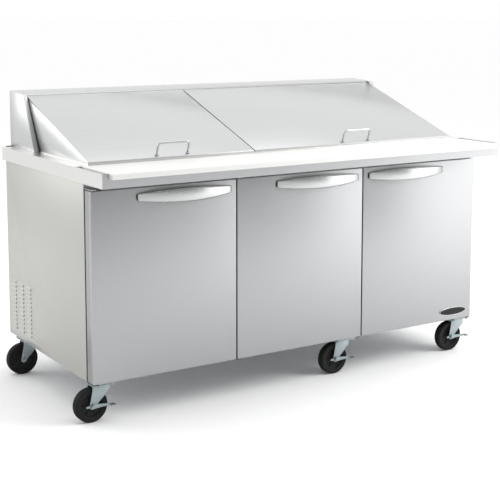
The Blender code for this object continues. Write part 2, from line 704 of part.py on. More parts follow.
def lid(name, left, right):
    """Sheet wedge open below and behind, with a foamed panel under its slope and a bail handle."""
    slope = lid_slope()
    shell = outline(f"{name}_shell", lid_outline(), left, right, "X", "stainless")
    front, lip_top, corner = lid_outline()[:3]
    drop = SHEET / math.cos(slope)
    below, behind, rise = 0.02, 0.1, math.tan(slope)
    hollow = [(front[0] + SHEET, front[1] - below), (front[0] + SHEET, lip_top[1] - drop + SHEET * rise),
              (corner[0] + behind, corner[1] - drop + behind * rise), (corner[0] + behind, front[1] - below)]
    space = outline(f"{name}_hollow", hollow, left + SHEET, right - SHEET, "X")
    bore = cylinder(f"{name}_bore", (left - 0.01, HINGE_Y, HINGE_Z), (right + 0.01, HINGE_Y, HINGE_Z),
                    ROD_RADIUS + 0.0005, segments=16)
    cut(shell, space, bore)

    inset, thick, reach, clear_of_rim = 0.004, 0.014, 0.546, 0.036
    start = (front[0] + SHEET + GAP, lip_top[1] - drop + SHEET * rise - GAP)
    sine, cosine = math.sin(slope), math.cos(slope)
    low = (start[0] + clear_of_rim * cosine, start[1] + clear_of_rim * sine - GAP)
    foam = [low, (low[0] + reach * cosine, low[1] + reach * sine),
            (low[0] + reach * cosine + thick * sine, low[1] + reach * sine - thick * cosine),
            (low[0] + thick * sine, low[1] - thick * cosine)]
    panel = outline(f"{name}_inner_panel", foam, left + SHEET + inset, right - SHEET - inset, "X",
                    "white_liner")

    handle = lid_handle(f"{name}_handle", (left + right) / 2, slope)
    hang(joint_at(f"{name}_axis", ((left + right) / 2, HINGE_Y, HINGE_Z)), shell, panel, handle)


def lid_handle(name, middle, slope):
    """A wire bail standing square on the slope near its front edge."""
    half, tall, wire, bend, inset = 0.066, 0.048, 0.0045, 0.014, 0.020
    points = [(-half, 0.0), (-half, tall - bend)]
    for k in range(1, 4):
        angle = math.pi / 2 * k / 3
        points.append((-half + bend * (1 - math.cos(angle)), tall - bend + bend * math.sin(angle)))
    points += [(-x, h) for x, h in reversed(points)]
    curve = bpy.data.curves.new(name, "CURVE")
    curve.dimensions = "3D"
    curve.bevel_depth = wire
    curve.bevel_resolution = 2
    curve.use_fill_caps = True
    spline = curve.splines.new("POLY")
    spline.points.add(len(points) - 1)
    for point, (x, h) in zip(spline.points, points):
        point.co = (x, 0.0, h, 1.0)
    foot = 0.0015
    y = LID_FRONT + inset * math.cos(slope) - foot * math.sin(slope)
    z = LID_BOTTOM + LID_LIP + inset * math.sin(slope) + foot * math.cos(slope)
    handle = add_object(name, curve, "chrome", (middle, y, z))
    handle.rotation_euler = (slope, 0.0, 0.0)
    return handle


def cutting_board():
    board = box("cutting_board", (-BOARD_HALF, BOARD_FRONT, TRAY_TOP + GAP),
                (BOARD_HALF, BOARD_BACK, WORKTOP_TOP), "white_board")
    edge = board.modifiers.new("rounded", "BEVEL")
    edge.width = 0.003
    edge.segments = 2
    hang(joint_at("cutting_board_axis", (0.0, (BOARD_FRONT + BOARD_BACK) / 2, TRAY_TOP)), board)


# ---------------------------------------------------------------- casters

def caster_rail(name, x):
    """Rail under the base for a front and a rear caster, thinner below the doors.

    Its front corners are notched where a hinge bracket hangs.
    """
    wide, reach, relief, beyond = 0.042, 0.045, 0.0015, 0.01
    front = CASTER_Y[0] - reach
    rail = box(name, (x - wide, front, RAIL_BOTTOM), (x + wide, CASTER_Y[1] + reach, CLEARANCE - GAP),
               "galvanised")
    cut(rail, box(f"{name}_relief", (x - wide - beyond, front - beyond, CLEARANCE - GAP - relief),
                  (x + wide + beyond, FRAME_FRONT - GAP, CLEARANCE + beyond)))
    notch_side = HALF - 0.0225
    for side in (-1, 1):
        if x * side + wide > notch_side:
            ends = sorted((side * notch_side, side * HALF))
            cut(rail, box(f"{name}_notch", (ends[0], front - beyond, RAIL_BOTTOM - beyond),
                          (ends[1], FRAME_FRONT + GAP, CLEARANCE)))


def caster(name, x, y, braked):
    """Swivel fork with its axle, a wheel, and a brake lever on the front ones."""
    top = RAIL_BOTTOM - GAP
    axle_x = x - TRAIL
    leg_out, leg_in = 0.0240, 0.0205
    fork = cylinder(f"{name}_fork", (x, y, 0.1370), (x, y, top), 0.031, "zinc")
    bridge = box(f"{name}_bridge", (x - 0.036, y - leg_out, 0.1315), (x + 0.030, y + leg_out, 0.1385))
    foot = [(-0.0115 * math.cos(a), -0.0115 * math.sin(a)) for a in (math.pi * k / 4 for k in range(5))]
    points = [(axle_x + u, WHEEL_RADIUS + v) for u, v in foot]
    points += [(x + 0.030, 0.118), (x + 0.030, 0.1375), (x - 0.036, 0.1375), (x - 0.040, 0.118)]
    legs = [outline(f"{name}_leg_{i}", points, y + side * leg_in, y + side * leg_out, "Y")
            for i, side in enumerate((-1, 1))]
    front_end = y - (0.0340 if braked else 0.0280)
    axle = cylinder(f"{name}_axle", (axle_x, front_end, WHEEL_RADIUS),
                    (axle_x, y + 0.0280, WHEEL_RADIUS), AXLE_RADIUS, segments=16)
    join(fork, bridge, *legs, axle)

    bore = AXLE_RADIUS + 0.0006
    rise = [(bore, 0.0170), (0.018, 0.0170), (0.021, 0.0120), (0.041, 0.0120), (0.045, WHEEL_HALF),
            (WHEEL_RADIUS - 0.004, WHEEL_HALF), (WHEEL_RADIUS, WHEEL_HALF - 0.006)]
    profile = rise + [(r, -h) for r, h in reversed(rise)]
    wheel = turned(f"{name}_wheel", profile, "Y", "black_rubber", (axle_x, y, WHEEL_RADIUS), closed=True)

    swivel = joint_at(f"{name}_swivel_axis", (x, y, top))
    hang(swivel, fork)
    axis = joint_at(f"{name}_wheel_axis", (axle_x, y, WHEEL_RADIUS))
    hang(axis, wheel)
    if braked:
        hang(axis, brake_lever(f"{name}_brake_lever", axle_x, y))
    axis.parent = swivel
    axis.location = axis.location - swivel.location


def brake_lever(name, axle_x, y):
    """Pedal plate on the axle end, with a tab bent out at its tip."""
    back, front = y - 0.0246, y - 0.0271
    z = WHEEL_RADIUS
    points = [(axle_x - 0.026, z + 0.001), (axle_x - 0.010, z - 0.0085), (axle_x + 0.010, z - 0.0095),
              (axle_x + 0.040, z - 0.0060), (axle_x + 0.084, z - 0.0050), (axle_x + 0.084, z + 0.0020),
              (axle_x + 0.040, z + 0.0050), (axle_x + 0.010, z + 0.0095), (axle_x - 0.010, z + 0.0090)]
    lever = outline(name, points, front, back, "Y", "zinc")
    tab = box(f"{name}_tab", (axle_x + 0.064, front - 0.020, z - 0.0015),
              (axle_x + 0.084, front + 0.001, z + 0.0010))
    bore = cylinder(f"{name}_bore", (axle_x, front - 0.01, z), (axle_x, back + 0.01, z),
                    AXLE_RADIUS + 0.0006, segments=16)
    join(lever, tab)
    cut(lever, bore)
    return lever


def main():
    clear_scene()
    side_panels()
    rear_panel()
    base_pan()
    insulation()
    liner()
    face_frame()
    worktop()
    pan_support_bar()
    rear_hood()
    machine()
    shelves()
    for i in range(3):
        door(i)
    badge()
    seam_left, seam_right = LID_ENDS[1] - LID_GAP / 2, LID_ENDS[1] + LID_GAP / 2
    lid("lid_left", LID_ENDS[0], seam_left)
    lid("lid_right", seam_right, LID_ENDS[2])
    cutting_board()
    for place, x in zip(("left", "middle", "right"), CASTER_X):
        caster_rail(f"caster_rail_{place}", x)
        caster(f"caster_front_{place}", x, CASTER_Y[0], braked=True)
        caster(f"caster_rear_{place}", x, CASTER_Y[1], braked=False)
    for obj in bpy.data.objects:
        if obj.parent is None:
            obj.location.x += BOX_SHIFT


main()
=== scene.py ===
"""Sandwich prep table: finishes, fine pieces, floor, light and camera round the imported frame."""

import json
import logging
import math
from dataclasses import dataclass, field
from enum import Enum
from typing import Iterable, Sequence

import bmesh
import bpy
from mathutils import Matrix, Vector


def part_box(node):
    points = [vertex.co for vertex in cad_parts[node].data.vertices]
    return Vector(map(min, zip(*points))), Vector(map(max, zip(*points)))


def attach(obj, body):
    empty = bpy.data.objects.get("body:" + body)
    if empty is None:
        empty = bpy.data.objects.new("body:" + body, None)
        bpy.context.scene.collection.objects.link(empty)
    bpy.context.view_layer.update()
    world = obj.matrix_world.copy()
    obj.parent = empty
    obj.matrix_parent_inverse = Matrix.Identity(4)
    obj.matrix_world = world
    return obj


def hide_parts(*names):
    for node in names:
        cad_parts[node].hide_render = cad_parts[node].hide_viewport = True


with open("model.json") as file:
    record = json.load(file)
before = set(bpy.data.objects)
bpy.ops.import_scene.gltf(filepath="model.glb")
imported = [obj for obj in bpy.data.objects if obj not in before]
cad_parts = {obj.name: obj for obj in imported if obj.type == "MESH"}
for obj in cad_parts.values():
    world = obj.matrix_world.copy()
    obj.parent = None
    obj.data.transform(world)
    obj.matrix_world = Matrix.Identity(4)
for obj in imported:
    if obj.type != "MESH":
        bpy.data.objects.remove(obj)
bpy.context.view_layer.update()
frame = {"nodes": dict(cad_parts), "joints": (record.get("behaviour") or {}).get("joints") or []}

MM = 0.001
HAIR = 0.0003
SHEET = 1.2 * MM

LOG = logging.getLogger("prep_table")

Point = Sequence[float]
Socket = bpy.types.NodeSocket


class Axis(Enum):
    """A direction in the frame, as a unit vector."""

    X = (1.0, 0.0, 0.0)
    Y = (0.0, 1.0, 0.0)
    Z = (0.0, 0.0, 1.0)

    @property
    def vector(self) -> Vector:
        """The unit vector of this direction."""
        return Vector(self.value)


# ------------------------------------------------------------------ finishes

def linear(colour: str) -> tuple[float, float, float, float]:
    """Turns an sRGB hex colour into linear values.

    Args:
        colour: Six hex digits, such as "C8C8C6".

    Returns:
        The linear red, green and blue, and an alpha of 1.
    """
    channels = (int(colour[i:i + 2], 16) / 255 for i in (0, 2, 4))
    values = [c / 12.92 if c <= 0.04045 else ((c + 0.055) / 1.055) ** 2.4 for c in channels]
    return (*values, 1.0)


def add_node(tree: bpy.types.NodeTree, kind: str, settings: dict | None = None,
             values: dict | None = None, links: dict | None = None) -> bpy.types.Node:
    """Adds a shader node, sets it up and links what feeds it.

    Args:
        tree: The node tree it goes in.
        kind: The node's type name.
        settings: Its properties by name.
        values: Its unlinked inputs by name or number.
        links: The output that feeds each linked input, by the input's name or number.

    Returns:
        The new node.
    """
    node = tree.nodes.new(kind)
    for name, value in (settings or {}).items():
        setattr(node, name, value)
    for socket, value in (values or {}).items():
        node.inputs[socket].default_value = value
    for socket, source in (links or {}).items():
        tree.links.new(source, node.inputs[socket])
    return node


@dataclass(frozen=True)
class Surface:
    """A material being made: its node tree, its Principled BSDF and the surface point in metres."""

    tree: bpy.types.NodeTree
    shader: bpy.types.Node
    place: Socket

    def stretched(self, scale: Point, turn_deg: float = 0.0) -> Socket:
        """The surface point, turned about Z and scaled along each axis."""
        return add_node(self.tree, "ShaderNodeMapping", values={
            "Rotation": (0.0, 0.0, math.radians(turn_deg)), "Scale": scale},
            links={"Vector": self.place}).outputs["Vector"]

    def noise(self, scale: float, detail: float, place: Socket | None = None,
              roughness: float = 0.5) -> Socket:
        """A cloudy noise from 0 to 1 over the surface point, or over a stretched one."""
        return add_node(self.tree, "ShaderNodeTexNoise", values={
            "Scale": scale, "Detail": detail, "Roughness": roughness},
            links={"Vector": place or self.place}).outputs["Fac"]

    def cells(self, size_mm: float) -> bpy.types.Node:
        """A pattern of irregular cells of about one size."""
        return add_node(self.tree, "ShaderNodeTexVoronoi", values={"Scale": 1000 / size_mm},
                        links={"Vector": self.place})

    def weighted(self, *parts: tuple[Socket, float]) -> Socket:
        """Adds patterns up.

        Args:
            parts: Each pattern and its weight.

        Returns:
            Their weighted sum.
        """
        total = None
        for pattern, weight in parts:
            links = {0: pattern} if total is None else {0: pattern, 2: total}
            total = add_node(self.tree, "ShaderNodeMath", {"operation": "MULTIPLY_ADD"},
                             {1: weight, 2: 0.0}, links).outputs["Value"]
        return total

    def relief(self, height: Socket, depth: float, strength: float) -> None:
        """Adds a bump.

        Args:
            height: The relief, from 0 to 1.
            depth: The real depth of the relief in metres.
            strength: The share of that depth that shows.
        """
        bump = add_node(self.tree, "ShaderNodeBump", values={"Strength": strength, "Distance": depth},
                        links={"Height": height})
        self.tree.links.new(bump.outputs["Normal"], self.shader.inputs["Normal"])


@dataclass(frozen=True)
class Finish:
    """A real material and the way its surface was made."""

    name: str
    colour: str
    roughness: float
    metallic: float = 0.0
    ior: float = 1.5
    coat: float = 0.0

    def material(self) -> bpy.types.Material:
        """Makes the material the first time, and returns it.

        Returns:
            The material, whose nodes give colour, gloss and relief.
        """
        known = bpy.data.materials.get(self.name)
        if known is not None:
            return known
        material = bpy.data.materials.new(self.name)
        material.use_nodes = True
        tree = material.node_tree
        shader = tree.nodes["Principled BSDF"]
        values = {"Base Color": linear(self.colour), "Roughness": self.roughness,
                  "Metallic": self.metallic, "Coat Weight": self.coat}
        if not self.metallic:
            values["IOR"] = self.ior
        for socket, value in values.items():
            shader.inputs[socket].default_value = value
        place = add_node(tree, "ShaderNodeTexCoord").outputs["Object"]
        self.pattern(Surface(tree, shader, place))
        return material

    def pattern(self, surface: Surface) -> None:
        """Adds the nodes that are this finish's own."""
        self.vary(surface, surface.noise(60.0, 4.0))

    def vary(self, surface: Surface, factor: Socket, tone: float = 0.05, gloss: float = 0.05) -> None:
        """Lets a pattern change the colour and the roughness a little.

        Args:
            surface: The material being made.
            factor: The pattern, from 0 to 1.
            tone: How much darker and lighter the colour gets, as a share.
            gloss: How much smoother and rougher the surface gets.
        """
        tree, base = surface.tree, linear(self.colour)[:3]
        dark, light = ((*[min(1.0, c * share) for c in base], 1.0) for share in (1 - tone, 1 + tone))
        mix = add_node(tree, "ShaderNodeMix", {"data_type": "RGBA"}, {6: dark, 7: light}, {0: factor})
        tree.links.new(mix.outputs[2], surface.shader.inputs["Base Color"])
        rough = add_node(tree, "ShaderNodeMapRange", values={
            "From Min": 0.25, "From Max": 0.75, "To Min": max(0.02, self.roughness - gloss),
            "To Max": min(1.0, self.roughness + gloss)}, links={"Value": factor})
        tree.links.new(rough.outputs["Result"], surface.shader.inputs["Roughness"])


@dataclass(frozen=True)
class BrushedStainless(Finish):
    """Cold-rolled stainless sheet, belt-ground to a No. 4 finish.

    The belt leaves fine parallel scratches, so the sheen is soft, drawn out across the grain,
    and changes a little from streak to streak.
    """

    metallic: float = 1.0
    grain: Axis = Axis.Z
    # The real scratches are about 0.1 mm apart; they are drawn coarser so that they show.
    pitch_mm: float = 1.6
    length_mm: float = 170.0
    streak: float = 0.035

    def pattern(self, surface: Surface) -> None:
        """Draws the scratches, broader streaks and a faint cloudiness."""
        across, along = 1000 / self.pitch_mm, 1000 / self.length_mm
        scale = [along if axis is self.grain else across for axis in Axis]
        scratches = surface.noise(1.0, 3.0, surface.stretched(scale), 0.6)
        streaks = surface.noise(1.0, 2.0, surface.stretched([s / 9 for s in scale]))
        clouds = surface.noise(3.0, 2.0)
        blend = surface.weighted((streaks, 0.30), (clouds, 0.15), (scratches, 0.55))
        self.vary(surface, blend, self.streak, 0.06)
        surface.relief(scratches, 0.02 * MM, 0.35)


@dataclass(frozen=True)
class Galvanised(Finish):
    """Hot-dip galvanised sheet, whose zinc froze in flat crystals.

    Each crystal has its own shade and gloss, so the sheet looks like pale grey flakes.
    """

    metallic: float = 1.0
    spangle_mm: float = 14.0

    def pattern(self, surface: Surface) -> None:
        """Draws the crystals."""
        cells = surface.cells(self.spangle_mm)
        shade = add_node(surface.tree, "ShaderNodeSeparateColor", links={"Color": cells.outputs["Color"]})
        self.vary(surface, shade.outputs["Red"], 0.12, 0.10)
        surface.relief(cells.outputs["Distance"], 0.05 * MM, 0.3)


@dataclass(frozen=True)
class Plated(Finish):
    """Steel with a bright plated skin.

    The skin follows faint press marks of the steel, so reflections waver a little.
    """

    metallic: float = 1.0
    wave_mm: float = 7.0
    tone: float = 0.08

    def pattern(self, surface: Surface) -> None:
        """Draws the wavering and the dull patches."""
        waves = surface.noise(1000 / self.wave_mm, 3.0)
        self.vary(surface, waves, self.tone)
        surface.relief(waves, 0.06 * MM, 0.3)


@dataclass(frozen=True)
class Moulded(Finish):
    """Moulded plastic or rubber, with the fine grain of its mould.

    The grain breaks up the gloss, so highlights are broad and slightly speckled.
    """

    grain_mm: float = 1.4
    depth_mm: float = 0.05
    tone: float = 0.05

    def pattern(self, surface: Surface) -> None:
        """Draws the mould grain and a broad unevenness."""
        self.vary(surface, surface.noise(14.0, 5.0), self.tone, 0.08)
        surface.relief(surface.noise(1000 / self.grain_mm, 3.0), self.depth_mm * MM, 0.5)


@dataclass(frozen=True)
class KnifeBoard(Finish):
    """White high-density polyethylene board, planed and then cut on.

    The planed face is matt and waxy, with hair-thin knife marks that run mostly across it.
    """

    mark_mm: float = 4.0

    def pattern(self, surface: Surface) -> None:
        """Draws the stipple and the knife marks."""
        marks = surface.noise(1.0, 2.0, surface.stretched((1000 / self.mark_mm, 14.0, 14.0), 12.0))
        self.vary(surface, marks, 0.025, 0.06)
        stipple = surface.noise(900.0, 2.0)
        surface.relief(surface.weighted((marks, 1.0), (stipple, 0.3)), 0.06 * MM, 0.4)


@dataclass(frozen=True)
class FoamCells(Finish):
    """Poured rigid polyurethane foam, with the small closed cells of its cut face."""

    cell_mm: float = 3.0

    def pattern(self, surface: Surface) -> None:
        """Draws the cells, with their hollows darker as painted shade."""
        depth = surface.cells(self.cell_mm).outputs["Distance"]
        # Painted shade: the colour darkens towards each cell's hollow middle.
        self.vary(surface, depth, 0.15, 0.03)
        surface.relief(depth, 0.8 * MM, 0.6)


@dataclass(frozen=True)
class FinStack(Finish):
    """Aluminium heat-exchanger fins, pressed from foil and stacked on tubes.

    Thin bright edges alternate with dark gaps, painted into the colour as painted highlight and painted
    shade.
    """

    metallic: float = 1.0
    # The real fins are 2 mm apart; the bands are drawn at twice that so that they show.
    pitch_mm: float = 4.0

    def pattern(self, surface: Surface) -> None:
        """Draws the edges of the fins, with painted highlight on them and painted shade between them."""
        # A wave's band repeats every 0.314 units of its scale.
        settings = {"wave_type": "BANDS", "bands_direction": "Y"}
        bands = add_node(surface.tree, "ShaderNodeTexWave", settings, {
            "Scale": 314.0 / self.pitch_mm, "Distortion": 0.3}, {"Vector": surface.place}).outputs["Fac"]
        # The bands lighten the colour on the fin edges and darken it in the gaps: painted highlight and
        # painted shade.
        self.vary(surface, bands, 0.55, 0.10)
        surface.relief(bands, 1.5 * MM, 0.7)


@dataclass(frozen=True)
class Finishes:
    """Every finish on the table."""

    # Vertical grain on the upright sheets: a pale grey with soft upright streaks. The stainless sheets below
    # are one steel; each copy's grey is set lighter or darker for how light falls on its part, as painted
    # light and shade.
    upright_steel: Finish = BrushedStainless("stainless_brushed_upright", "A8A9AA", 0.34)
    # The sides get their own grey for how light falls on them: painted light and shade.
    side_steel: Finish = BrushedStainless("stainless_brushed_side", "B5B5B1", 0.40)
    # Grain along the counter on everything that lies level, in a lighter grey than the upright sheets as
    # painted light.
    level_steel: Finish = BrushedStainless("stainless_brushed_level", "D6D6D4", 0.30, grain=Axis.X)
    # The lid and hood copies get their own greys for how light falls on them: painted light and shade.
    lid_steel: Finish = BrushedStainless("stainless_brushed_lid", "C6C7C7", 0.30, grain=Axis.X)
    hood_steel: Finish = BrushedStainless("stainless_brushed_hood", "BEBFBF", 0.34, grain=Axis.X)
    # The front skirt is folded from the level sheet and drawn in a greyer copy of its steel as painted
    # shade.
    shaded_skirt_steel: Finish = BrushedStainless("stainless_brushed_skirt_painted_shade", "A8A9AA", 0.33, grain=Axis.X)
    # The handles are polished after pressing, so they catch a bright line.
    handle_steel: Finish = BrushedStainless("stainless_polished_strip", "B8B9B9", 0.26, grain=Axis.X,
                                            streak=0.02)
    # Dull crystalline grey on the hidden sheets.
    galvanised: Finish = Galvanised("galvanised_sheet", "B9BCBE", 0.45)
    # Blue-white passivated zinc on the pressed forks.
    zinc: Finish = Plated("zinc_plated_pressing", "9BA6A8", 0.36)
    # Mirror-bright wire.
    chrome: Finish = Plated("chrome_plated_wire", "BCBEC0", 0.09, wave_mm=25.0, tone=0.03)
    # White board, waxy and matt.
    board: Finish = KnifeBoard("polyethylene_planed_board", "DDDDDB", 0.42, ior=1.54)
    # Vacuum-formed white sheet with a soft gloss.
    white_abs: Finish = Moulded("abs_vacuum_formed_white", "EDEDEA", 0.36, ior=1.54, grain_mm=1.8)
    # Black moulded fittings with a dull mould grain.
    black_abs: Finish = Moulded("abs_moulded_black", "17181A", 0.42, ior=1.54)
    # Soft extruded door seal, nearly matt.
    seal: Finish = Moulded("pvc_extruded_gasket", "202123", 0.60, ior=1.53, tone=0.08)
    # Solid tyre with a dusty bloom.
    tyre: Finish = Moulded("rubber_moulded_tyre", "090A0A", 0.80, ior=1.42, grain_mm=2.2,
                           depth_mm=0.12, tone=0.18)
    wheel_core: Finish = Moulded("polypropylene_moulded_core", "0C0D0D", 0.70, ior=1.42)
    # Anodised-looking pressed liner: a soft pale aluminium.
    liner: Finish = Plated("aluminium_pressed_liner", "D5D7D8", 0.42, wave_mm=30.0, tone=0.03)
    foam: Finish = FoamCells("polyurethane_poured_foam", "E0CF9A", 0.90)
    enamel: Finish = Moulded("steel_stoved_enamel_black", "141416", 0.28, coat=0.4, grain_mm=3.0,
                             depth_mm=0.04)
    fins: Finish = FinStack("aluminium_fin_stack", "B5B7B8", 0.45)
    copper: Finish = Plated("copper_drawn_tube", "B8734A", 0.30, wave_mm=12.0)
    # Black label face, satin.
    badge_face: Finish = Moulded("acrylic_printed_black", "050506", 0.40, ior=1.40,
                                 grain_mm=6.0, depth_mm=0.01)


FINISH = Finishes()


# ------------------------------------------------------------------ mesh work

@dataclass
class Extent:
    """The box of a CAD node at rest."""

    low: Vector
    high: Vector

    @classmethod
    def of(cls, *nodes: str) -> "Extent":
        """The box round one or more CAD nodes.

        Args:
            nodes: The nodes' names.

        Returns:
            Their common box.
        """
        corners = [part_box(node) for node in nodes]
        low = Vector([min(c[0][k] for c in corners) for k in range(3)])
        high = Vector([max(c[1][k] for c in corners) for k in range(3)])
        return cls(low, high)

    @property
    def middle(self) -> Vector:
        """The middle of the box."""
        return (self.low + self.high) / 2

    @property
    def size(self) -> Vector:
        """The lengths of the box's sides."""
        return self.high - self.low


def joint_place(name: str) -> Vector:
    """The point on a joint's axis, from the record."""
    return Vector(next(j for j in frame["joints"] if j["name"] == name)["pos_m"])


def block(bm: bmesh.types.BMesh, low: Point, high: Point) -> list[bmesh.types.BMVert]:
    """Adds a block between two corners.

    Args:
        bm: The mesh it goes in.
        low: The lowest corner.
        high: The highest corner.

    Returns:
        Its eight vertices.
    """
    low, high = Vector(low), Vector(high)
    place = Matrix.Translation((low + high) / 2) @ Matrix.Diagonal((*(high - low), 1.0))
    return bmesh.ops.create_cube(bm, size=1.0, matrix=place)["verts"]


def round_edges(bm: bmesh.types.BMesh, radius: float, segments: int = 2,
                verts: Iterable[bmesh.types.BMVert] | None = None, angle: float = 30.0) -> None:
    """Rounds the edges that are sharper than an angle.

    Args:
        bm: The mesh.
        radius: The radius of the rounding in metres.
        segments: How many faces make it.
        verts: Only edges between these are rounded, or all if there are none.
        angle: The angle in degrees.
    """
    bm.normal_update()
    chosen = set(verts) if verts is not None else set(bm.verts)
    sharp = [edge for edge in bm.edges
             if edge.is_manifold and edge.calc_face_angle(0.0) > math.radians(angle)
             and edge.verts[0] in chosen and edge.verts[1] in chosen]
    bmesh.ops.bevel(bm, geom=sharp, offset=radius, offset_type="OFFSET", segments=segments,
                    profile=0.5, affect="EDGES", material=-1, clamp_overlap=True)


def rounded_block(bm: bmesh.types.BMesh, low: Point, high: Point, radius: float,
                  segments: int = 2) -> None:
    """Adds a block with rounded edges between two corners."""
    round_edges(bm, radius, segments, block(bm, low, high))


def aimed(direction: Point) -> Matrix:
    """The turn that takes +Z to a direction."""
    return Vector(direction).to_track_quat("Z", "Y").to_matrix().to_4x4()


def rod(bm: bmesh.types.BMesh, start: Point, end: Point, radius: float, segments: int = 24,
        end_radius: float | None = None) -> list[bmesh.types.BMVert]:
    """Adds a round bar or a cone from start to end.

    Args:
        bm: The mesh it goes in.
        start: The middle of one end.
        end: The middle of the other end.
        radius: The radius at the start.
        segments: How many sides it has.
        end_radius: The radius at the end, if it differs.

    Returns:
        Its vertices.
    """
    start, end = Vector(start), Vector(end)
    place = Matrix.Translation((start + end) / 2) @ aimed(end - start)
    return bmesh.ops.create_cone(bm, cap_ends=True, segments=segments, radius1=radius,
                                 radius2=radius if end_radius is None else end_radius,
                                 depth=(end - start).length, matrix=place)["verts"]


def turned(bm: bmesh.types.BMesh, profile: Sequence[tuple[float, float]], centre: Point,
           axis: Point, steps: int = 48, closed: bool = False) -> list[bmesh.types.BMVert]:
    """Spins a profile of (radius, height) points round an axis.

    Args:
        bm: The mesh it goes in.
        profile: The points.
        centre: The point on the axis at height 0.
        axis: The axis's direction.
        steps: How many steps the full turn has.
        closed: Whether the last point joins the first, as in a ring.

    Returns:
        The vertices of the turned shape.
    """
    known = set(bm.verts)
    rim = [bm.verts.new((r, 0.0, h)) for r, h in profile]
    pairs = list(zip(rim, rim[1:] + (rim[:1] if closed else [])))
    edges = [bm.edges.new(pair) for pair in pairs]
    bmesh.ops.spin(bm, geom=rim + edges, cent=(0, 0, 0), axis=(0, 0, 1), dvec=(0, 0, 0),
                   angle=math.tau, steps=steps, use_merge=True, use_duplicate=False)
    added = [v for v in bm.verts if v not in known]
    bmesh.ops.remove_doubles(bm, verts=added, dist=0.01 * MM)
    added = [v for v in bm.verts if v not in known]
    faces = list({f for v in added for f in v.link_faces})
    bmesh.ops.recalc_face_normals(bm, faces=faces)
    bmesh.ops.transform(bm, matrix=Matrix.Translation(centre) @ aimed(axis), verts=added)
    return added


def plate(bm: bmesh.types.BMesh, outline: Sequence[Point], push: Point) -> list[bmesh.types.BMVert]:
    """Adds a flat outline pushed into a solid.

    Args:
        bm: The mesh it goes in.
        outline: Its corners in order.
        push: How far and where the outline is pushed.

    Returns:
        The vertices of the solid.
    """
    corners = [bm.verts.new(p) for p in outline]
    face = bm.faces.new(corners)
    pushed = bmesh.ops.extrude_face_region(bm, geom=[face], use_keep_orig=True)["geom"]
    moved = [g for g in pushed if isinstance(g, bmesh.types.BMVert)]
    bmesh.ops.translate(bm, vec=push, verts=moved)
    verts = corners + moved
    bmesh.ops.recalc_face_normals(bm, faces=list({f for v in verts for f in v.link_faces}))
    return verts


def wire(bm: bmesh.types.BMesh, corners: Sequence[Point], radius: float, bend: float,
         sides: int = 16, bend_steps: int = 6) -> list[bmesh.types.BMVert]:
    """Adds a round wire along straight runs with rounded bends, by extruding and spinning a ring.

    Args:
        bm: The mesh it goes in.
        corners: The ends of the runs, with a sharp corner where each bend is.
        radius: The radius of the wire.
        bend: The radius of the bends, at the wire's middle.
        sides: How many sides the wire has.
        bend_steps: How many steps each bend has.

    Returns:
        The wire's vertices.
    """
    known = set(bm.verts)
    points = [Vector(p) for p in corners]
    ways = [(b - a).normalized() for a, b in zip(points, points[1:])]
    start = Matrix.Translation(points[0]) @ aimed(ways[0])
    ring = bmesh.ops.create_circle(bm, cap_ends=True, segments=sides, radius=radius, matrix=start)
    faces = list({f for v in ring["verts"] for f in v.link_faces})
    here = points[0]
    for k, way in enumerate(ways):
        cut = 0.0
        if k + 1 < len(ways):
            turn = way.angle(ways[k + 1])
            cut = bend * math.tan(turn / 2)
        goal = points[k + 1] - way * cut
        out = bmesh.ops.extrude_face_region(bm, geom=faces)["geom"]
        faces = [g for g in out if isinstance(g, bmesh.types.BMFace)]
        bmesh.ops.translate(bm, vec=goal - here, verts=list({v for f in faces for v in f.verts}))
        here = goal
        if cut:
            hinge = way.cross(ways[k + 1]).normalized()
            centre = goal + hinge.cross(way) * bend
            for _ in range(bend_steps):
                out = bmesh.ops.extrude_face_region(bm, geom=faces)["geom"]
                faces = [g for g in out if isinstance(g, bmesh.types.BMFace)]
                bmesh.ops.rotate(bm, cent=centre, matrix=Matrix.Rotation(turn / bend_steps, 3, hinge),
                                 verts=list({v for f in faces for v in f.verts}))
            here = points[k + 1] + ways[k + 1] * cut
    added = [v for v in bm.verts if v not in known]
    bmesh.ops.recalc_face_normals(bm, faces=list({f for v in added for f in v.link_faces}))
    return added


def softened(node: str, radius: float = 0.5 * MM) -> bmesh.types.BMesh:
    """A copy of a folded sheet with its folds and rims rounded.

    Args:
        node: The CAD node's name.
        radius: The radius of the rounding.

    Returns:
        The new mesh.
    """
    bm = bmesh.new()
    bm.from_mesh(frame["nodes"][node].data)
    bmesh.ops.remove_doubles(bm, verts=bm.verts, dist=0.01 * MM)
    bmesh.ops.dissolve_limit(bm, angle_limit=math.radians(1.0), verts=bm.verts, edges=bm.edges)
    round_edges(bm, radius)
    return bm


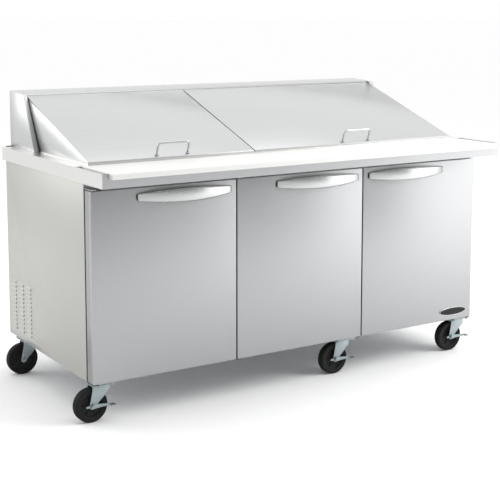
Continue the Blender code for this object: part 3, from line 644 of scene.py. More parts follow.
def piece(name: str, bm: bmesh.types.BMesh, finish: Finish, body: str,
          replaces: Sequence[str] = (), wall: float = 0.0, smooth: float = 32.0,
          flat_faces: bool = False) -> bpy.types.Object:
    """Turns a mesh into a finished piece that rides on a body.

    Args:
        name: The piece's name.
        bm: Its mesh, which is used up.
        finish: Its finish.
        body: The CAD body it moves with.
        replaces: The CAD nodes it stands for.
        wall: The thickness that an open sheet gets, inwards, or 0.
        smooth: Edges flatter than this angle in degrees are shaded smooth.
        flat_faces: Whether broad faces are shaded flat right up to their rounded edges.

    Returns:
        The object.

    Raises:
        ValueError: If the mesh has no faces.
    """
    if not bm.faces:
        raise ValueError(f"piece {name} has no faces")
    mesh = bpy.data.meshes.new(name)
    bm.to_mesh(mesh)
    bm.free()
    obj = bpy.data.objects.new(name, mesh)
    bpy.context.scene.collection.objects.link(obj)
    mesh.shade_smooth()
    mesh.set_sharp_from_angle(angle=math.radians(smooth))
    mesh.materials.append(finish.material())
    if wall:
        shell = obj.modifiers.new("wall", "SOLIDIFY")
        shell.thickness = wall
        shell.offset = -1.0
    if flat_faces:
        obj.modifiers.new("flat_faces", "WEIGHTED_NORMAL").keep_sharp = True
    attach(obj, body)
    if replaces:
        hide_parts(*replaces)
    LOG.info("piece %s on %s", name, body)
    return obj


def dress(node: str, finish: Finish) -> None:
    """Gives a CAD node its finish."""
    materials = frame["nodes"][node].data.materials
    materials.clear()
    materials.append(finish.material())
    LOG.info("dressed %s", node)


# ------------------------------------------------------------------ doors

@dataclass
class Door:
    """One insulated door: folded skin, formed inner panel, seal and bowed strip handle."""

    number: int
    fold_radius: float = 2.2 * MM
    skin_sheet: float = 1.0 * MM
    handle_thick: float = 2.6 * MM
    bow: float = 40 * MM
    middle_half: float = 25 * MM
    end_half: float = 12.5 * MM
    seal_rise: float = 7.6 * MM
    shade_strip_deep: float = 14 * MM

    @property
    def body(self) -> str:
        """The door's body."""
        return f"door_{self.number}"

    def build(self) -> None:
        """Makes every piece of the door."""
        self.skin()
        self.inner_panel()
        self.gasket()
        self.shade_strips_and_seal_flange()
        self.handle()

    def skin(self) -> None:
        """Folds the steel skin: a box open at the back with rounded folds."""
        node = f"{self.body}_skin"
        extent = Extent.of(node)
        bm = bmesh.new()
        block(bm, extent.low, extent.high)
        back = [f for f in bm.faces if f.calc_center_median().y > extent.high.y - MM]
        bmesh.ops.delete(bm, geom=back, context="FACES_ONLY")
        round_edges(bm, self.fold_radius, 4)
        piece(f"{self.body}_folded_skin", bm, FINISH.upright_steel, self.body, [node],
              wall=self.skin_sheet)

    def inner_panel(self) -> None:
        """Forms the white inside of the door with its dished middle."""
        node = f"{self.body}_inner_panel"
        extent = Extent.of(node)
        bm = bmesh.new()
        block(bm, extent.low, extent.high)
        back = [f for f in bm.faces if f.calc_center_median().y > extent.high.y - MM]
        # A sunk field, then a lower raised one inside it: border, slope and push along Y, in mm.
        for border, slope, push in ((54, 7, -10), (60, 5, 4)):
            for step_in in (border, slope):
                bmesh.ops.inset_region(bm, faces=back, thickness=step_in * MM, use_even_offset=True)
            middle = list({v for f in back for v in f.verts})
            bmesh.ops.translate(bm, vec=(0, push * MM, 0), verts=middle)
        round_edges(bm, 1.8 * MM, 3, angle=20.0)
        piece(f"{self.body}_formed_inside", bm, FINISH.white_abs, self.body, [node])

    def gasket(self) -> None:
        """Shapes the magnetic seal: a ring with a retainer lip, a bellows fold and a flat face."""
        node = f"{self.body}_gasket"
        extent = Extent.of(node)
        front, rise = extent.low.y, self.seal_rise
        bm = bmesh.new()
        upright = Matrix.Rotation(math.pi / 2, 4, "X")
        place = Matrix.Translation((extent.middle.x, front + MM, extent.middle.z)) @ upright
        size = Matrix.Diagonal((extent.size.x, extent.size.z, 1.0, 1.0))
        bmesh.ops.create_grid(bm, x_segments=1, y_segments=1, size=0.5, matrix=place @ size)
        inner = list(bm.faces)
        # Each step goes further in from the outer edge and sets how far the seal stands out there.
        steps = ((1.5, 0.55), (1.5, 0.92), (4.0, 1.0), (4.0, 1.0), (1.5, 0.80), (1.0, 0.45), (2.0, 0.35),
                 (1.5, 0.70), (1.5, 0.30))
        for step_in, share in steps:
            bmesh.ops.inset_region(bm, faces=inner, thickness=step_in * MM, use_boundary=True,
                                   use_even_offset=True)
            for vert in {v for f in inner for v in f.verts}:
                vert.co.y = front + rise * share
        bmesh.ops.delete(bm, geom=inner, context="FACES_ONLY")
        for face in bm.faces:
            if face.normal.y < 0:
                face.normal_flip()
        piece(f"{self.body}_bellows_seal", bm, FINISH.seal, self.body, [node],
              wall=0.9 * MM, smooth=50.0)

    def shade_strips_and_seal_flange(self) -> None:
        """Lays black strips in the mouths of the gaps between doors as painted shade for the gaps, and a
        flange round the seal.
        """
        skin, seal = Extent.of(f"{self.body}_skin"), Extent.of(f"{self.body}_gasket")
        edge, film = 2 * MM, 0.4 * MM
        bm = bmesh.new()
        # These black films on the doors' facing sides stand in for the shade in the gaps: painted shade.
        for number, x, way in ((1, skin.low.x, -1), (3, skin.high.x, 1)):
            if self.number != number:
                near, far = sorted((x + way * 0.1 * MM, x + way * film))
                block(bm, (near, skin.low.y + edge, skin.low.z + edge),
                      (far, skin.low.y + self.shade_strip_deep, skin.high.z - edge))
        rim = (seal.low.y + 0.1 * MM, seal.low.y + film)
        for low, high in (((skin.low.x + edge, skin.low.z + edge), (seal.low.x, skin.high.z - edge)),
                          ((seal.high.x, skin.low.z + edge), (skin.high.x - edge, skin.high.z - edge)),
                          ((seal.low.x, skin.low.z + edge), (seal.high.x, seal.low.z)),
                          ((seal.low.x, seal.high.z), (seal.high.x, skin.high.z - edge))):
            block(bm, (low[0], rim[0], low[1]), (high[0], rim[1], high[1]))
        piece(f"{self.body}_shade_strips_and_seal_flange", bm, FINISH.seal, self.body)

    def handle(self) -> None:
        """Bows the strip handle, widest in its middle, and plugs its two ends."""
        node = f"{self.body}_handle"
        extent = Extent.of(node)
        half = extent.size.x / 2
        middle, base = extent.middle, extent.high.y - self.handle_thick
        bm = bmesh.new()
        bmesh.ops.create_grid(bm, x_segments=56, y_segments=8, size=0.5)
        for vert in bm.verts:
            along, up = 2 * vert.co.x, 2 * vert.co.y
            swell = math.cos(along * math.pi / 2) ** 0.8 if abs(along) < 1 else 0.0
            height = self.end_half + (self.middle_half - self.end_half) * (1 - along * along)
            crown = 2.5 * MM * up * up * (1 - along * along)
            vert.co = (middle.x + along * half, base - self.bow * swell + crown, middle.z + up * height)
        bmesh.ops.recalc_face_normals(bm, faces=bm.faces)
        if bm.faces[:][0].normal.y > 0:
            bmesh.ops.reverse_faces(bm, faces=bm.faces)
        piece(f"{self.body}_strip_handle", bm, FINISH.handle_steel, self.body, [node],
              wall=self.handle_thick)
        bm = bmesh.new()
        front = Extent.of(f"{self.body}_skin").low.y
        for side in (-1, 1):
            tip = middle.x + side * half
            near, far = sorted((tip + side * 1.5 * MM, tip - side * 9 * MM))
            rounded_block(bm, (near, front - 5.5 * MM, middle.z - 9.5 * MM),
                          (far, front - HAIR, middle.z + 9.5 * MM), 2 * MM, 3)
        piece(f"{self.body}_handle_plugs", bm, FINISH.black_abs, self.body)


@dataclass
class Badge:
    """Blank oval badge: a bright rim round a black face."""

    rim_width: float = 2.4 * MM

    def build(self) -> None:
        """Makes the rim and the face."""
        extent = Extent.of("badge_plate")
        middle, size = extent.middle, extent.size
        for name, finish, shrink, front, slot in (
                ("badge_rim", FINISH.chrome, 0.0, 0.4 * MM, "bail_chrome"),
                ("badge_face", FINISH.badge_face, self.rim_width, 0.0, "badge_plastic")):
            bm = bmesh.new()
            bmesh.ops.create_cone(bm, cap_ends=True, segments=96, radius1=0.5, radius2=0.5, depth=1.0,
                                  matrix=Matrix.Rotation(math.pi / 2, 4, "X"))
            thick = size.y - front
            shape = Matrix.Diagonal((size.x - 2 * shrink, thick, size.z - 2 * shrink, 1.0))
            place = Matrix.Translation((middle.x, extent.high.y - thick / 2, middle.z))
            bmesh.ops.transform(bm, matrix=place @ shape, verts=bm.verts)
            round_edges(bm, 0.7 * MM, 3)
            piece(name, bm, finish, "door_3", ["badge_plate"], flat_faces=True)


# ------------------------------------------------------------------ lids

@dataclass
class Lid:
    """One sloping lid: folded shell, foamed underside, wire bail and hinge knuckles."""

    name: str
    wire_radius: float = 4.2 * MM
    bend: float = 14 * MM
    lip: float = 5 * MM
    knuckle_radius: float = 4.6 * MM
    knuckle_long: float = 46 * MM

    def build(self) -> None:
        """Makes every piece of the lid."""
        shell = f"{self.name}_shell"
        piece(f"{self.name}_folded_shell", softened(shell, 0.55 * MM), FINISH.lid_steel, self.name,
              [shell])
        panel = f"{self.name}_inner_panel"
        piece(f"{self.name}_formed_underside", softened(panel, 2.5 * MM), FINISH.white_abs, self.name,
              [panel])
        self.bail()
        self.knuckles()

    def bail(self) -> None:
        """Bends the wire bail and stands its legs in round foot washers."""
        node = f"{self.name}_handle"
        extent = Extent.of(node)
        # The CAD bail's box is its centreline grown by the wire all round.
        grown = 4.5 * MM
        axis = self.slope_normal()
        foot_y = extent.high.y - grown * math.cos(math.atan2(-axis.y, axis.z))
        foot = Vector((0, foot_y, extent.low.z + grown * abs(axis.y)))
        reach = (extent.high.z - grown - foot.z) / axis.z
        half = extent.size.x / 2 - grown
        left, right = extent.middle.x - half, extent.middle.x + half
        corners = [Vector((x, foot.y, foot.z)) + axis * h
                   for x, h in ((left, 0.0), (left, reach), (right, reach), (right, 0.0))]
        bm = bmesh.new()
        wire(bm, corners, self.wire_radius, self.bend, sides=20, bend_steps=8)
        for x in (left, right):
            base = Vector((x, foot.y, foot.z))
            ring = [(0.0, 2.2 * MM), (6.0 * MM, 2.2 * MM), (8.0 * MM, 1.2 * MM), (8.4 * MM, 0.0), (0.0, 0.0)]
            turned(bm, ring, base, axis, 32)
        piece(f"{self.name}_bail", bm, FINISH.chrome, self.name, [node])

    def slope_normal(self) -> Vector:
        """The direction square to the lid's slope, from the shell's front lip and its hinge.

        Returns:
            The unit vector.
        """
        shell = Extent.of(f"{self.name}_shell")
        rise = shell.high.z - (shell.low.z + self.lip)
        run = shell.size.y
        slope = math.atan2(rise, run)
        return Vector((0.0, -math.sin(slope), math.cos(slope)))

    def knuckles(self) -> None:
        """Rolls the hinge knuckles round the rod, at each end of the lid and in its middle."""
        shell = Extent.of(f"{self.name}_shell")
        _, y, z = joint_place(f"{self.name}_hinge")
        inset = 30 * MM
        bm = bmesh.new()
        starts = (shell.low.x + inset, shell.middle.x - self.knuckle_long / 2,
                  shell.high.x - inset - self.knuckle_long)
        tube = [(2.9 * MM, 0.0), (2.9 * MM, self.knuckle_long), (self.knuckle_radius, self.knuckle_long),
                (self.knuckle_radius, 0.0)]
        for start in starts:
            turned(bm, tube, (start, y, z), Axis.X.value, 24, closed=True)
        piece(f"{self.name}_hinge_knuckles", bm, FINISH.lid_steel, self.name)


# ------------------------------------------------------------------ casters

@dataclass
class Caster:
    """One swivel caster: plate, ball race, pressed fork, axle bolt, core and tyre, and brake."""

    row: str
    place: str
    leg_thick: float = 3.2 * MM
    tyre_height: float = 15 * MM
    race_radius: float = 29 * MM
    plate_half: tuple[float, float] = (46 * MM, 48 * MM)
    bolt_inset: float = 10 * MM
    fork_half: float = 24 * MM

    @property
    def name(self) -> str:
        """The start of the names of this caster's nodes and bodies."""
        return f"caster_{self.row}_{self.place}"

    @property
    def pivot(self) -> Vector:
        """The point on the swivel axis at the top of the fork."""
        return joint_place(f"{self.name}_swivel")

    @property
    def hub(self) -> Vector:
        """The middle of the axle."""
        return joint_place(f"{self.name}_roll")

    @property
    def braked(self) -> bool:
        """Whether this caster has a brake."""
        return self.row == "front"

    def build(self) -> None:
        """Makes every piece of the caster."""
        self.plate()
        self.fork()
        self.axle_bolt()
        self.wheel()
        if self.braked:
            self.pedal()

    def plate(self) -> None:
        """Makes the top plate with rounded corners and its four bolts."""
        pivot = self.pivot
        wide, deep = self.plate_half
        top = Extent.of(f"caster_rail_{self.place}").low.z - HAIR
        bm = bmesh.new()
        block(bm, (pivot.x - wide, pivot.y - deep, top - 3 * MM), (pivot.x + wide, pivot.y + deep, top))
        upright = [e for e in bm.edges if abs(e.verts[0].co.z - e.verts[1].co.z) > MM]
        bmesh.ops.bevel(bm, geom=upright, offset=9 * MM, segments=5, profile=0.5, affect="EDGES",
                        material=-1, clamp_overlap=True)
        round_edges(bm, 0.5 * MM, 2)
        for side_x in (-1, 1):
            for side_y in (-1, 1):
                bolt = Vector((pivot.x + side_x * (wide - self.bolt_inset),
                               pivot.y + side_y * (deep - self.bolt_inset), top))
                rod(bm, bolt - Vector((0, 0, 3 * MM)), bolt - Vector((0, 0, 4.2 * MM)), 7 * MM, 24)
                rod(bm, bolt - Vector((0, 0, 4.2 * MM)), bolt - Vector((0, 0, 8.5 * MM)), 5.6 * MM, 6)
        piece(f"{self.name}_plate", bm, FINISH.zinc, "cabinet")

    def fork(self) -> None:
        """Presses the fork: crown, two tapering legs with rounded feet, and the ball race above."""
        pivot, hub = self.pivot, self.hub
        out = self.fork_half
        crown_low, crown_high = 131.5 * MM, 137.5 * MM
        bm = bmesh.new()
        feet = [math.pi + math.pi * k / 12 for k in range(13)]
        foot = [(hub.x + 12 * MM * math.cos(a), hub.z + 12 * MM * math.sin(a)) for a in feet]
        for side in (-1, 1):
            shape = foot + [(pivot.x + 30 * MM, 117 * MM), (pivot.x + 30 * MM, crown_high),
                            (pivot.x - 36 * MM, crown_high), (pivot.x - 39 * MM, 117 * MM)]
            inner = pivot.y + side * (out - self.leg_thick)
            verts = plate(bm, [(x, inner, z) for x, z in shape], (0, side * self.leg_thick, 0))
            round_edges(bm, 0.9 * MM, 2, verts)
        rounded_block(bm, (pivot.x - 36 * MM, pivot.y - out, crown_low),
                      (pivot.x + 30 * MM, pivot.y + out, crown_high), 2.2 * MM, 3)
        turned(bm, [(0.0, 3.6 * MM), (self.race_radius - 3 * MM, 3.6 * MM), (self.race_radius, 1.8 * MM),
                    (self.race_radius, 0.0), (0.0, 0.0)], (pivot.x, pivot.y, crown_high - MM / 2),
               Axis.Z.value, 40)
        piece(f"{self.name}_pressed_fork", bm, FINISH.zinc, f"{self.name}_fork",
              [f"{self.name}_fork"])
        bm = bmesh.new()
        race_low = crown_high + 3.4 * MM
        turned(bm, [(0.0, 1.5 * MM), (self.race_radius + 1.2 * MM, 1.5 * MM),
                    (self.race_radius + 1.6 * MM, -3.2 * MM), (self.race_radius + 0.6 * MM, -3.2 * MM),
                    (self.race_radius + 0.2 * MM, 0.0), (0.0, 0.0)], (pivot.x, pivot.y, race_low),
               Axis.Z.value, 40)
        piece(f"{self.name}_race_cover", bm, FINISH.zinc, "cabinet")

    def axle_bolt(self) -> None:
        """Adds the hexagonal bolt head, nut and washers on the fork's outer faces."""
        hub = self.hub
        fork = Extent.of(f"{self.name}_fork")
        bm = bmesh.new()
        front_face = hub.y - self.fork_half - (3.4 * MM if self.braked else 0.0)
        back_face = hub.y + self.fork_half
        for face, way, limit in ((front_face, -1, fork.low.y), (back_face, 1, fork.high.y)):
            tip = limit + way * -0.2 * MM
            rod(bm, (hub.x, face, hub.z), (hub.x, face + way * 0.9 * MM, hub.z), 9 * MM, 32)
            hexagon = rod(bm, (hub.x, face + way * 0.9 * MM, hub.z), (hub.x, tip, hub.z), 7.5 * MM, 6)
            round_edges(bm, 0.6 * MM, 2, hexagon)
        rod(bm, (hub.x, front_face, hub.z), (hub.x, back_face, hub.z), 3.9 * MM, 24)
        piece(f"{self.name}_axle_bolt", bm, FINISH.zinc, f"{self.name}_fork")

    def wheel(self) -> None:
        """Turns the grooved tyre and the moulded core with its raised ring and boss."""
        hub = self.hub
        extent = Extent.of(f"{self.name}_wheel")
        radius, half = extent.size.z / 2, 16 * MM
        body = f"{self.name}_wheel"
        inner = radius - self.tyre_height
        shoulder = [(half - 5 * MM * (1 - math.cos(a)), radius - 5 * MM * (1 - math.sin(a)))
                    for a in (math.pi / 2 * k / 6 for k in range(7))]
        groove_deep = 1.2 * MM
        tread = [(radius - groove_deep, 4.4 * MM), (radius - groove_deep, 3.2 * MM), (radius, 2.8 * MM)]
        right = [(inner, half - 1.2 * MM), (inner + 2 * MM, half)] + [(r, h) for h, r in shoulder]
        right += [(radius, 5.2 * MM)] + tread
        profile = right + [(r, -h) for r, h in reversed(right)]
        bm = bmesh.new()
        turned(bm, profile, hub, Axis.Y.value, 64, closed=True)
        piece(f"{self.name}_tyre", bm, FINISH.tyre, body, [body])
        bm = bmesh.new()
        bore = 4.6 * MM
        rise = [(bore, 17 * MM), (13 * MM, 17 * MM), (15 * MM, 15.5 * MM), (17 * MM, 9 * MM),
                (20 * MM, 7.5 * MM), (38 * MM, 7.5 * MM), (41 * MM, 9 * MM), (43 * MM, 14 * MM),
                (inner - HAIR, 14.4 * MM)]
        turned(bm, rise + [(r, -h) for r, h in reversed(rise)], hub, Axis.Y.value, 48, closed=True)
        for k in range(6):
            angle = math.tau * k / 6
            spoke = Matrix.Translation(hub) @ Matrix.Rotation(angle, 4, "Y")
            verts = block(bm, (14 * MM, -11 * MM, -1.6 * MM), (42 * MM, 11 * MM, 1.6 * MM))
            bmesh.ops.transform(bm, matrix=spoke, verts=verts)
        piece(f"{self.name}_core", bm, FINISH.wheel_core, body)

    def pedal(self) -> None:
        """Presses the brake pedal: a waisted plate on the axle with a tread tab at its tip."""
        hub = self.hub
        node = f"{self.name}_brake_lever"
        extent = Extent.of(node)
        plate_back = hub.y - 24.6 * MM
        plate_front = hub.y - 27.1 * MM
        bm = bmesh.new()
        boss = [(hub.x + 10.5 * MM * math.cos(a), hub.z + 9.4 * MM * math.sin(a))
                for a in (math.radians(70 + 220 * k / 12) for k in range(13))]
        tip_x = extent.high.x
        shape = boss + [(hub.x + 40 * MM, hub.z - 6 * MM), (tip_x, hub.z - 5 * MM), (tip_x, hub.z + 2 * MM),
                        (hub.x + 40 * MM, hub.z + 5 * MM)]
        verts = plate(bm, [(x, plate_back, z) for x, z in shape], (0, plate_front - plate_back, 0))
        round_edges(bm, 0.5 * MM, 2, verts)
        rounded_block(bm, (tip_x - 20 * MM, extent.low.y, hub.z - 1.5 * MM),
                      (tip_x, plate_front + MM, hub.z + MM), 0.9 * MM, 2)
        for k in range(4):
            x = tip_x - 17 * MM + k * 4.4 * MM
            rod(bm, (x, extent.low.y + 2 * MM, hub.z + 0.8 * MM), (x, plate_front - MM, hub.z + 0.8 * MM),
                0.9 * MM, 8)
        rounded_block(bm, (hub.x - 26 * MM, plate_front, hub.z - 4 * MM),
                      (hub.x - 6 * MM, plate_back, hub.z + 4.5 * MM), 0.9 * MM, 2)
        piece(f"{self.name}_brake_pedal", bm, FINISH.zinc, f"{self.name}_brake", [node])


# ------------------------------------------------------------------ cabinet and inside

@dataclass
class Cabinet:
    """The steel carcass: side, rear and base sheets, face frame, worktop, hood and louvres."""

    louvre_proud: float = 2.2 * MM
    louvre_columns: tuple[float, ...] = (274 * MM, 355 * MM, 436 * MM)
    louvre_half: float = 23 * MM
    louvre_rows: int = 12
    louvre_bottom: float = 180 * MM
    louvre_pitch: float = 17.5 * MM
    vane_columns: tuple[float, ...] = (-840 * MM, -680 * MM, -520 * MM)
    vane_long: float = 138 * MM
    vane_rows: int = 11
    vane_bottom: float = 185 * MM
    vane_pitch: float = 20 * MM

    def build(self) -> None:
        """Makes or dresses every piece of the carcass."""
        for side in ("left", "right"):
            node = f"{side}_side_panel"
            piece(f"{side}_folded_side", softened(node, 0.5 * MM), FINISH.side_steel, "cabinet",
                  [node])
        self.worktop()
        piece("folded_hood", softened("rear_hood", 0.55 * MM), FINISH.hood_steel, "cabinet",
              ["rear_hood"])
        for node, finish in (("face_frame", FINISH.upright_steel), ("rear_panel", FINISH.galvanised),
                             ("base_pan", FINISH.galvanised), ("foam_insulation", FINISH.foam),
                             ("inner_liner", FINISH.liner), ("pan_support_bar", FINISH.level_steel),
                             ("cord_inlet", FINISH.black_abs), ("evaporator_housing", FINISH.white_abs),
                             ("condenser_coil", FINISH.fins), ("condenser_fan", FINISH.black_abs),
                             ("evaporator_fan", FINISH.black_abs)):
            dress(node, finish)
        for place in ("left", "middle", "right"):
            dress(f"caster_rail_{place}", FINISH.galvanised)
        for number in (1, 2, 3):
            dress(f"door_{number}_hinge_bracket", FINISH.enamel)
        self.board()
        self.closing_strip()
        self.louvres()
        self.rear_vanes()
        self.caster_shade_block()

    def worktop(self) -> None:
        """Folds the worktop, with a greyer copy of its steel on the front skirt as painted shade."""
        worktop = piece("folded_worktop", softened("worktop", 0.55 * MM), FINISH.level_steel, "cabinet",
                        ["worktop"], flat_faces=True)
        # The skirt faces get the darker copy of the steel: painted shade.
        worktop.data.materials.append(FINISH.shaded_skirt_steel.material())
        front = Extent.of("worktop").low.y
        for face in worktop.data.polygons:
            face.material_index = int(face.center.y < front + 2 * MM and face.normal.y < -0.5)

    def closing_strip(self) -> None:
        """Closes the joint between the rear panel and the worktop with a folded strip."""
        panel, top = Extent.of("rear_panel"), Extent.of("worktop")
        bm = bmesh.new()
        block(bm, (panel.low.x + MM, panel.high.y - SHEET, panel.high.z + HAIR),
              (panel.high.x - MM, panel.high.y, top.high.z - 2 * MM))
        piece("rear_closing_strip", bm, FINISH.side_steel, "cabinet")

    def board(self) -> None:
        """Cuts the white board with rounded edges."""
        extent = Extent.of("cutting_board")
        bm = bmesh.new()
        rounded_block(bm, extent.low, extent.high, 3 * MM, 4)
        piece("planed_cutting_board", bm, FINISH.board, "cutting_board", ["cutting_board"])

    def louvres(self) -> None:
        """Presses three columns of hooded louvres out of the left side panel."""
        outer = Extent.of("left_side_panel").low.x
        bm = bmesh.new()
        for column in self.louvre_columns:
            for row in range(self.louvre_rows):
                z = self.louvre_bottom + row * self.louvre_pitch
                hood = [(outer, z + 12 * MM), (outer - self.louvre_proud * 0.75, z + 9 * MM),
                        (outer - self.louvre_proud, z + 1.5 * MM),
                        (outer - self.louvre_proud + 0.8 * MM, z + 1.5 * MM),
                        (outer + 0.2 * MM, z + 10 * MM)]
                verts = plate(bm, [(x, column - self.louvre_half, height) for x, height in hood],
                              (0, 2 * self.louvre_half, 0))
                round_edges(bm, 0.5 * MM, 1, verts)
        piece("side_louvres", bm, FINISH.side_steel, "cabinet")

    def rear_vanes(self) -> None:
        """Sets a slanting vane behind each slot of the rear grille."""
        panel = Extent.of("rear_panel")
        shift, back = panel.middle.x, panel.low.y
        bm = bmesh.new()
        for x in self.vane_columns:
            for row in range(self.vane_rows):
                z = self.vane_bottom + row * self.vane_pitch
                vane = [(back, z + 8 * MM), (back - 5 * MM, z + 2 * MM), (back - 5 * MM, z + 1 * MM),
                        (back, z + 7 * MM)]
                plate(bm, [(shift + x + MM, y, height) for y, height in vane],
                      (self.vane_long, 0, 0))
        piece("rear_grille_vanes", bm, FINISH.galvanised, "cabinet")

    def caster_shade_block(self) -> None:
        """Adds a small black block below the free lower corner of the middle door, as painted shade over the
        middle caster's top.
        """
        door = Extent.of("door_2_skin")
        frame_face = Extent.of("face_frame")
        bm = bmesh.new()
        # A black block that stands for shade, not a part: painted shade.
        rounded_block(bm, (door.high.x - 20 * MM, door.low.y + 3 * MM, frame_face.low.z - 4 * MM),
                      (door.high.x - 2 * MM, frame_face.low.y + 3 * MM, frame_face.low.z - 0.6 * MM), MM, 2)
        piece("middle_caster_painted_shade", bm, FINISH.enamel, "cabinet")


@dataclass
class Shelf:
    """One chromed wire shelf on four clips."""

    number: int
    frame_radius: float = 2.9 * MM
    wire_radius: float = 1.6 * MM
    wire_gap: float = 25 * MM

    def build(self) -> None:
        """Welds the wires and hangs the clips."""
        node = f"shelf_{self.number}"
        extent = Extent.of(node)
        low, high = extent.low, extent.high
        edge, mid = self.frame_radius, extent.middle.z - 0.1 * MM
        bm = bmesh.new()
        border = [(low.x + edge, low.y + edge), (high.x - edge, low.y + edge),
                  (high.x - edge, high.y - edge), (low.x + edge, high.y - edge)]
        for (ax, ay), (bx, by) in zip(border, border[1:] + border[:1]):
            rod(bm, (ax, ay, mid), (bx, by, mid), edge, 12)
            bmesh.ops.create_uvsphere(bm, u_segments=12, v_segments=8, radius=edge,
                                      matrix=Matrix.Translation((ax, ay, mid)))
        bars = max(2, round(extent.size.y / 0.2) + 1)
        for k in range(1, bars):
            y = low.y + extent.size.y * k / bars
            rod(bm, (low.x + edge, y, mid - MM), (high.x - edge, y, mid - MM), edge * 0.7, 10)
        count = round(extent.size.x / self.wire_gap)
        for k in range(1, count):
            x = low.x + extent.size.x * k / count
            rod(bm, (x, low.y + edge, mid + MM), (x, high.y - edge, mid + MM), self.wire_radius, 8)
        piece(f"shelf_{self.number}_wires", bm, FINISH.chrome, "cabinet", [node])
        bm = bmesh.new()
        reach = 13 * MM
        for y in (low.y + 40 * MM, high.y - 60 * MM):
            for wall, way in ((low.x, 1), (high.x, -1)):
                near, far = sorted((wall - way * reach, wall + way * 9 * MM))
                rounded_block(bm, (near, y - 6 * MM, low.z - 6 * MM), (far, y + 6 * MM, low.z - HAIR), MM, 2)
        piece(f"shelf_{self.number}_clips", bm, FINISH.galvanised, "cabinet")


@dataclass
class Machine:
    """The compressor with its pipes, and guards before the two fans."""

    def build(self) -> None:
        """Makes the visible parts of the machine."""
        self.compressor()
        self.guard("condenser_fan", "condenser_coil", Axis.X, 1)
        self.guard("evaporator_fan", "evaporator_housing", Axis.Y, -1)

    def compressor(self) -> None:
        """Turns the can with its welded seam, and adds its feet, terminal cover and pipes."""
        extent = Extent.of("compressor")
        middle = extent.middle
        radius, height = 80 * MM, extent.size.z - 12 * MM
        base = extent.low.z + 12 * MM
        dome = [(radius * math.sin(a), height - 45 * MM * (1 - math.cos(a)))
                for a in (math.pi / 2 * k / 8 for k in range(9))]
        profile = dome + [(radius, 92 * MM), (radius + 2.5 * MM, 91 * MM), (radius + 2.5 * MM, 86 * MM),
                          (radius, 85 * MM), (radius, 30 * MM), (70 * MM, 8 * MM), (0.0, 0.0)]
        bm = bmesh.new()
        turned(bm, profile, (middle.x, middle.y, base), Axis.Z.value, 48)
        for side in (-1, 1):
            foot_y, foot_z = middle.y + side * 52 * MM, extent.low.z
            rounded_block(bm, (middle.x - 98 * MM, foot_y - 12 * MM, foot_z + 6 * MM),
                          (middle.x + 98 * MM, foot_y + 12 * MM, foot_z + 10 * MM), MM, 2)
        rounded_block(bm, (middle.x + 62 * MM, middle.y - 28 * MM, base + 50 * MM),
                      (middle.x + 96 * MM, middle.y + 28 * MM, base + 120 * MM), 4 * MM, 3)
        piece("compressor_can", bm, FINISH.enamel, "cabinet", ["compressor"])
        bm = bmesh.new()
        top = base + 70 * MM
        coil = Extent.of("condenser_coil")
        for offset, rise in ((-20 * MM, 90 * MM), (20 * MM, 120 * MM)):
            start = (middle.x - 70 * MM, middle.y + offset, top)
            wire(bm, [start, (middle.x - 130 * MM, middle.y + offset, top),
                      (middle.x - 130 * MM, middle.y + offset, top + rise),
                      (coil.high.x + 12 * MM, middle.y + offset, top + rise)], 3.2 * MM, 20 * MM, 12, 6)
        piece("refrigerant_pipes", bm, FINISH.copper, "cabinet")

    def guard(self, fan: str, shroud: str, axis: Axis, way: int) -> None:
        """Welds a wire guard of rings and spokes before a fan.

        Args:
            fan: The fan's node.
            shroud: The node that the guard is fixed to.
            axis: The fan's axis.
            way: 1 if the guard is on the far side along the axis, or -1.
        """
        extent, box = Extent.of(fan), Extent.of(shroud)
        k = list(Axis).index(axis)
        edge = box.high[k] if way > 0 else box.low[k]
        centre = extent.middle.copy()
        centre[k] = edge + way * 1.8 * MM
        bm = bmesh.new()
        for ring in range(1, 7):
            radius = ring * 15.8 * MM
            section = [(radius + 1.1 * MM * math.cos(a), 1.1 * MM * math.sin(a))
                       for a in (math.tau * s / 8 for s in range(8))]
            turned(bm, section, centre, axis.value, 48, closed=True)
        for spoke in range(8):
            angle = math.tau * spoke / 8
            out = Matrix.Rotation(angle, 3, axis.vector) @ Axis.Z.vector
            rod(bm, centre + out * 12 * MM, centre + out * 97 * MM, 1.2 * MM, 8)
        piece(f"{fan}_guard", bm, FINISH.chrome, "cabinet")


# ------------------------------------------------------------------ floor, light and camera

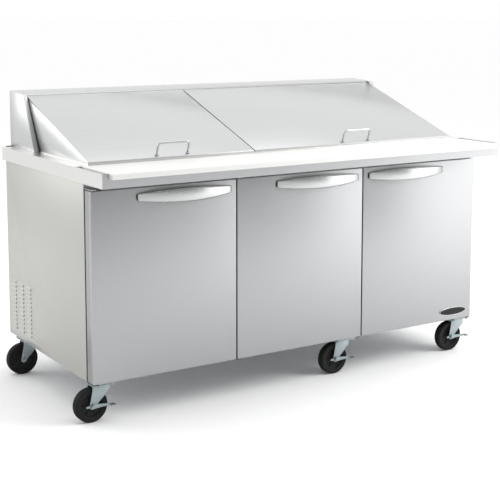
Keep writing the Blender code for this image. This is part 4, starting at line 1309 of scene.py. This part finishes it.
@dataclass
class Studio:
    """A pale floor, soft lamps and the camera."""

    # Where the camera stands, measured from the middle of the table's footprint.
    camera_place: tuple[float, float, float] = (-2.5396, -4.0294, 1.4713)
    heading_deg: float = 32.153
    pitch_deg: float = 6.704
    lens_mm: float = 83.02
    shift_y: float = -0.2
    floor_half: float = 600.0
    # The room is bright behind and above the table, and dimmer in front of it.
    bright_side: tuple[float, float, float] = (0.30, 0.75, 0.59)
    bright: float = 1.17
    dim: float = 0.42
    lamps: dict = field(default_factory=lambda: {
        # name: (place, aim, width, height, power)
        "softbox_right": ((3.9, -2.6, 1.35), (0.5, -0.3, 0.5), 3.0, 2.6, 42.0),
        "floor_pool_right": ((3.0, -2.6, 2.6), (2.0, -1.9, 0.0), 2.0, 2.0, 75.0),
        "softbox_top": ((0.2, -0.8, 4.2), (0.1, 0.0, 0.8), 4.5, 3.5, 42.0),
        "softbox_rear_left": ((-3.6, 3.2, 2.2), (-0.9, 0.2, 1.1), 3.0, 2.4, 40.0),
    })

    def build(self) -> None:
        """Sets up the stage."""
        self.floor()
        self.light()
        self.camera()

    def floor(self) -> None:
        """Lays the floor."""
        bm = bmesh.new()
        bmesh.ops.create_grid(bm, x_segments=1, y_segments=1, size=self.floor_half)
        mesh = bpy.data.meshes.new("floor")
        bm.to_mesh(mesh)
        bm.free()
        obj = bpy.data.objects.new("floor", mesh)
        bpy.context.scene.collection.objects.link(obj)
        paint = Moulded("floor_matt_white_paint", "FDFDFD", 0.85, grain_mm=40.0, depth_mm=0.0, tone=0.004)
        mesh.materials.append(paint.material())

    def light(self) -> None:
        """Hangs the lamps and sets the sky's even glow."""
        for name, (place, aim, wide, high, power) in self.lamps.items():
            lamp = bpy.data.lights.new(name, "AREA")
            lamp.shape, lamp.size, lamp.size_y, lamp.energy = "RECTANGLE", wide, high, power
            obj = bpy.data.objects.new(name, lamp)
            obj.location = place
            obj.rotation_euler = (Vector(aim) - Vector(place)).to_track_quat("-Z", "Y").to_euler()
            bpy.context.scene.collection.objects.link(obj)
        world = bpy.data.worlds.new("studio")
        world.use_nodes = True
        tree = world.node_tree
        way = add_node(tree, "ShaderNodeTexCoord").outputs["Generated"]
        toward = add_node(tree, "ShaderNodeVectorMath", {"operation": "DOT_PRODUCT"},
                          {1: self.bright_side}, {0: way})
        glow = add_node(tree, "ShaderNodeMapRange", {"interpolation_type": "SMOOTHSTEP"}, {
            "From Min": -0.7, "From Max": 0.7, "To Min": self.dim, "To Max": self.bright},
            {"Value": toward.outputs["Value"]})
        seen = add_node(tree, "ShaderNodeLightPath").outputs["Is Camera Ray"]
        strength = add_node(tree, "ShaderNodeMix", {"data_type": "FLOAT"}, {3: 1.0},
                            {0: seen, 2: glow.outputs["Result"]})
        tree.links.new(strength.outputs[0], tree.nodes["Background"].inputs["Strength"])
        tree.nodes["Background"].inputs["Color"].default_value = linear("FFFFFF")
        bpy.context.scene.world = world
        bpy.context.scene.view_settings.view_transform = "Standard"

    def camera(self) -> None:
        """Stands the camera before the left-hand corner, looking a little down."""
        lens = bpy.data.cameras.new("camera")
        lens.lens, lens.sensor_width, lens.shift_y = self.lens_mm, 36.0, self.shift_y
        obj = bpy.data.objects.new("camera", lens)
        obj.location = self.camera_place
        obj.rotation_euler = (math.radians(90 - self.pitch_deg), 0.0, -math.radians(self.heading_deg))
        bpy.context.scene.collection.objects.link(obj)
        bpy.context.scene.camera = obj


def main() -> None:
    """Builds the sub-assemblies in order, then the stage."""
    logging.basicConfig(level=logging.INFO, format="%(name)s: %(message)s")
    Cabinet().build()
    for number in (1, 2, 3):
        Door(number).build()
    Badge().build()
    for name in ("lid_left", "lid_right"):
        Lid(name).build()
    for place in ("left", "middle", "right"):
        for row in ("front", "rear"):
            Caster(row, place).build()
    for number in (1, 2, 3):
        Shelf(number).build()
    Machine().build()
    Studio().build()


if __name__ == "__main__":
    main()
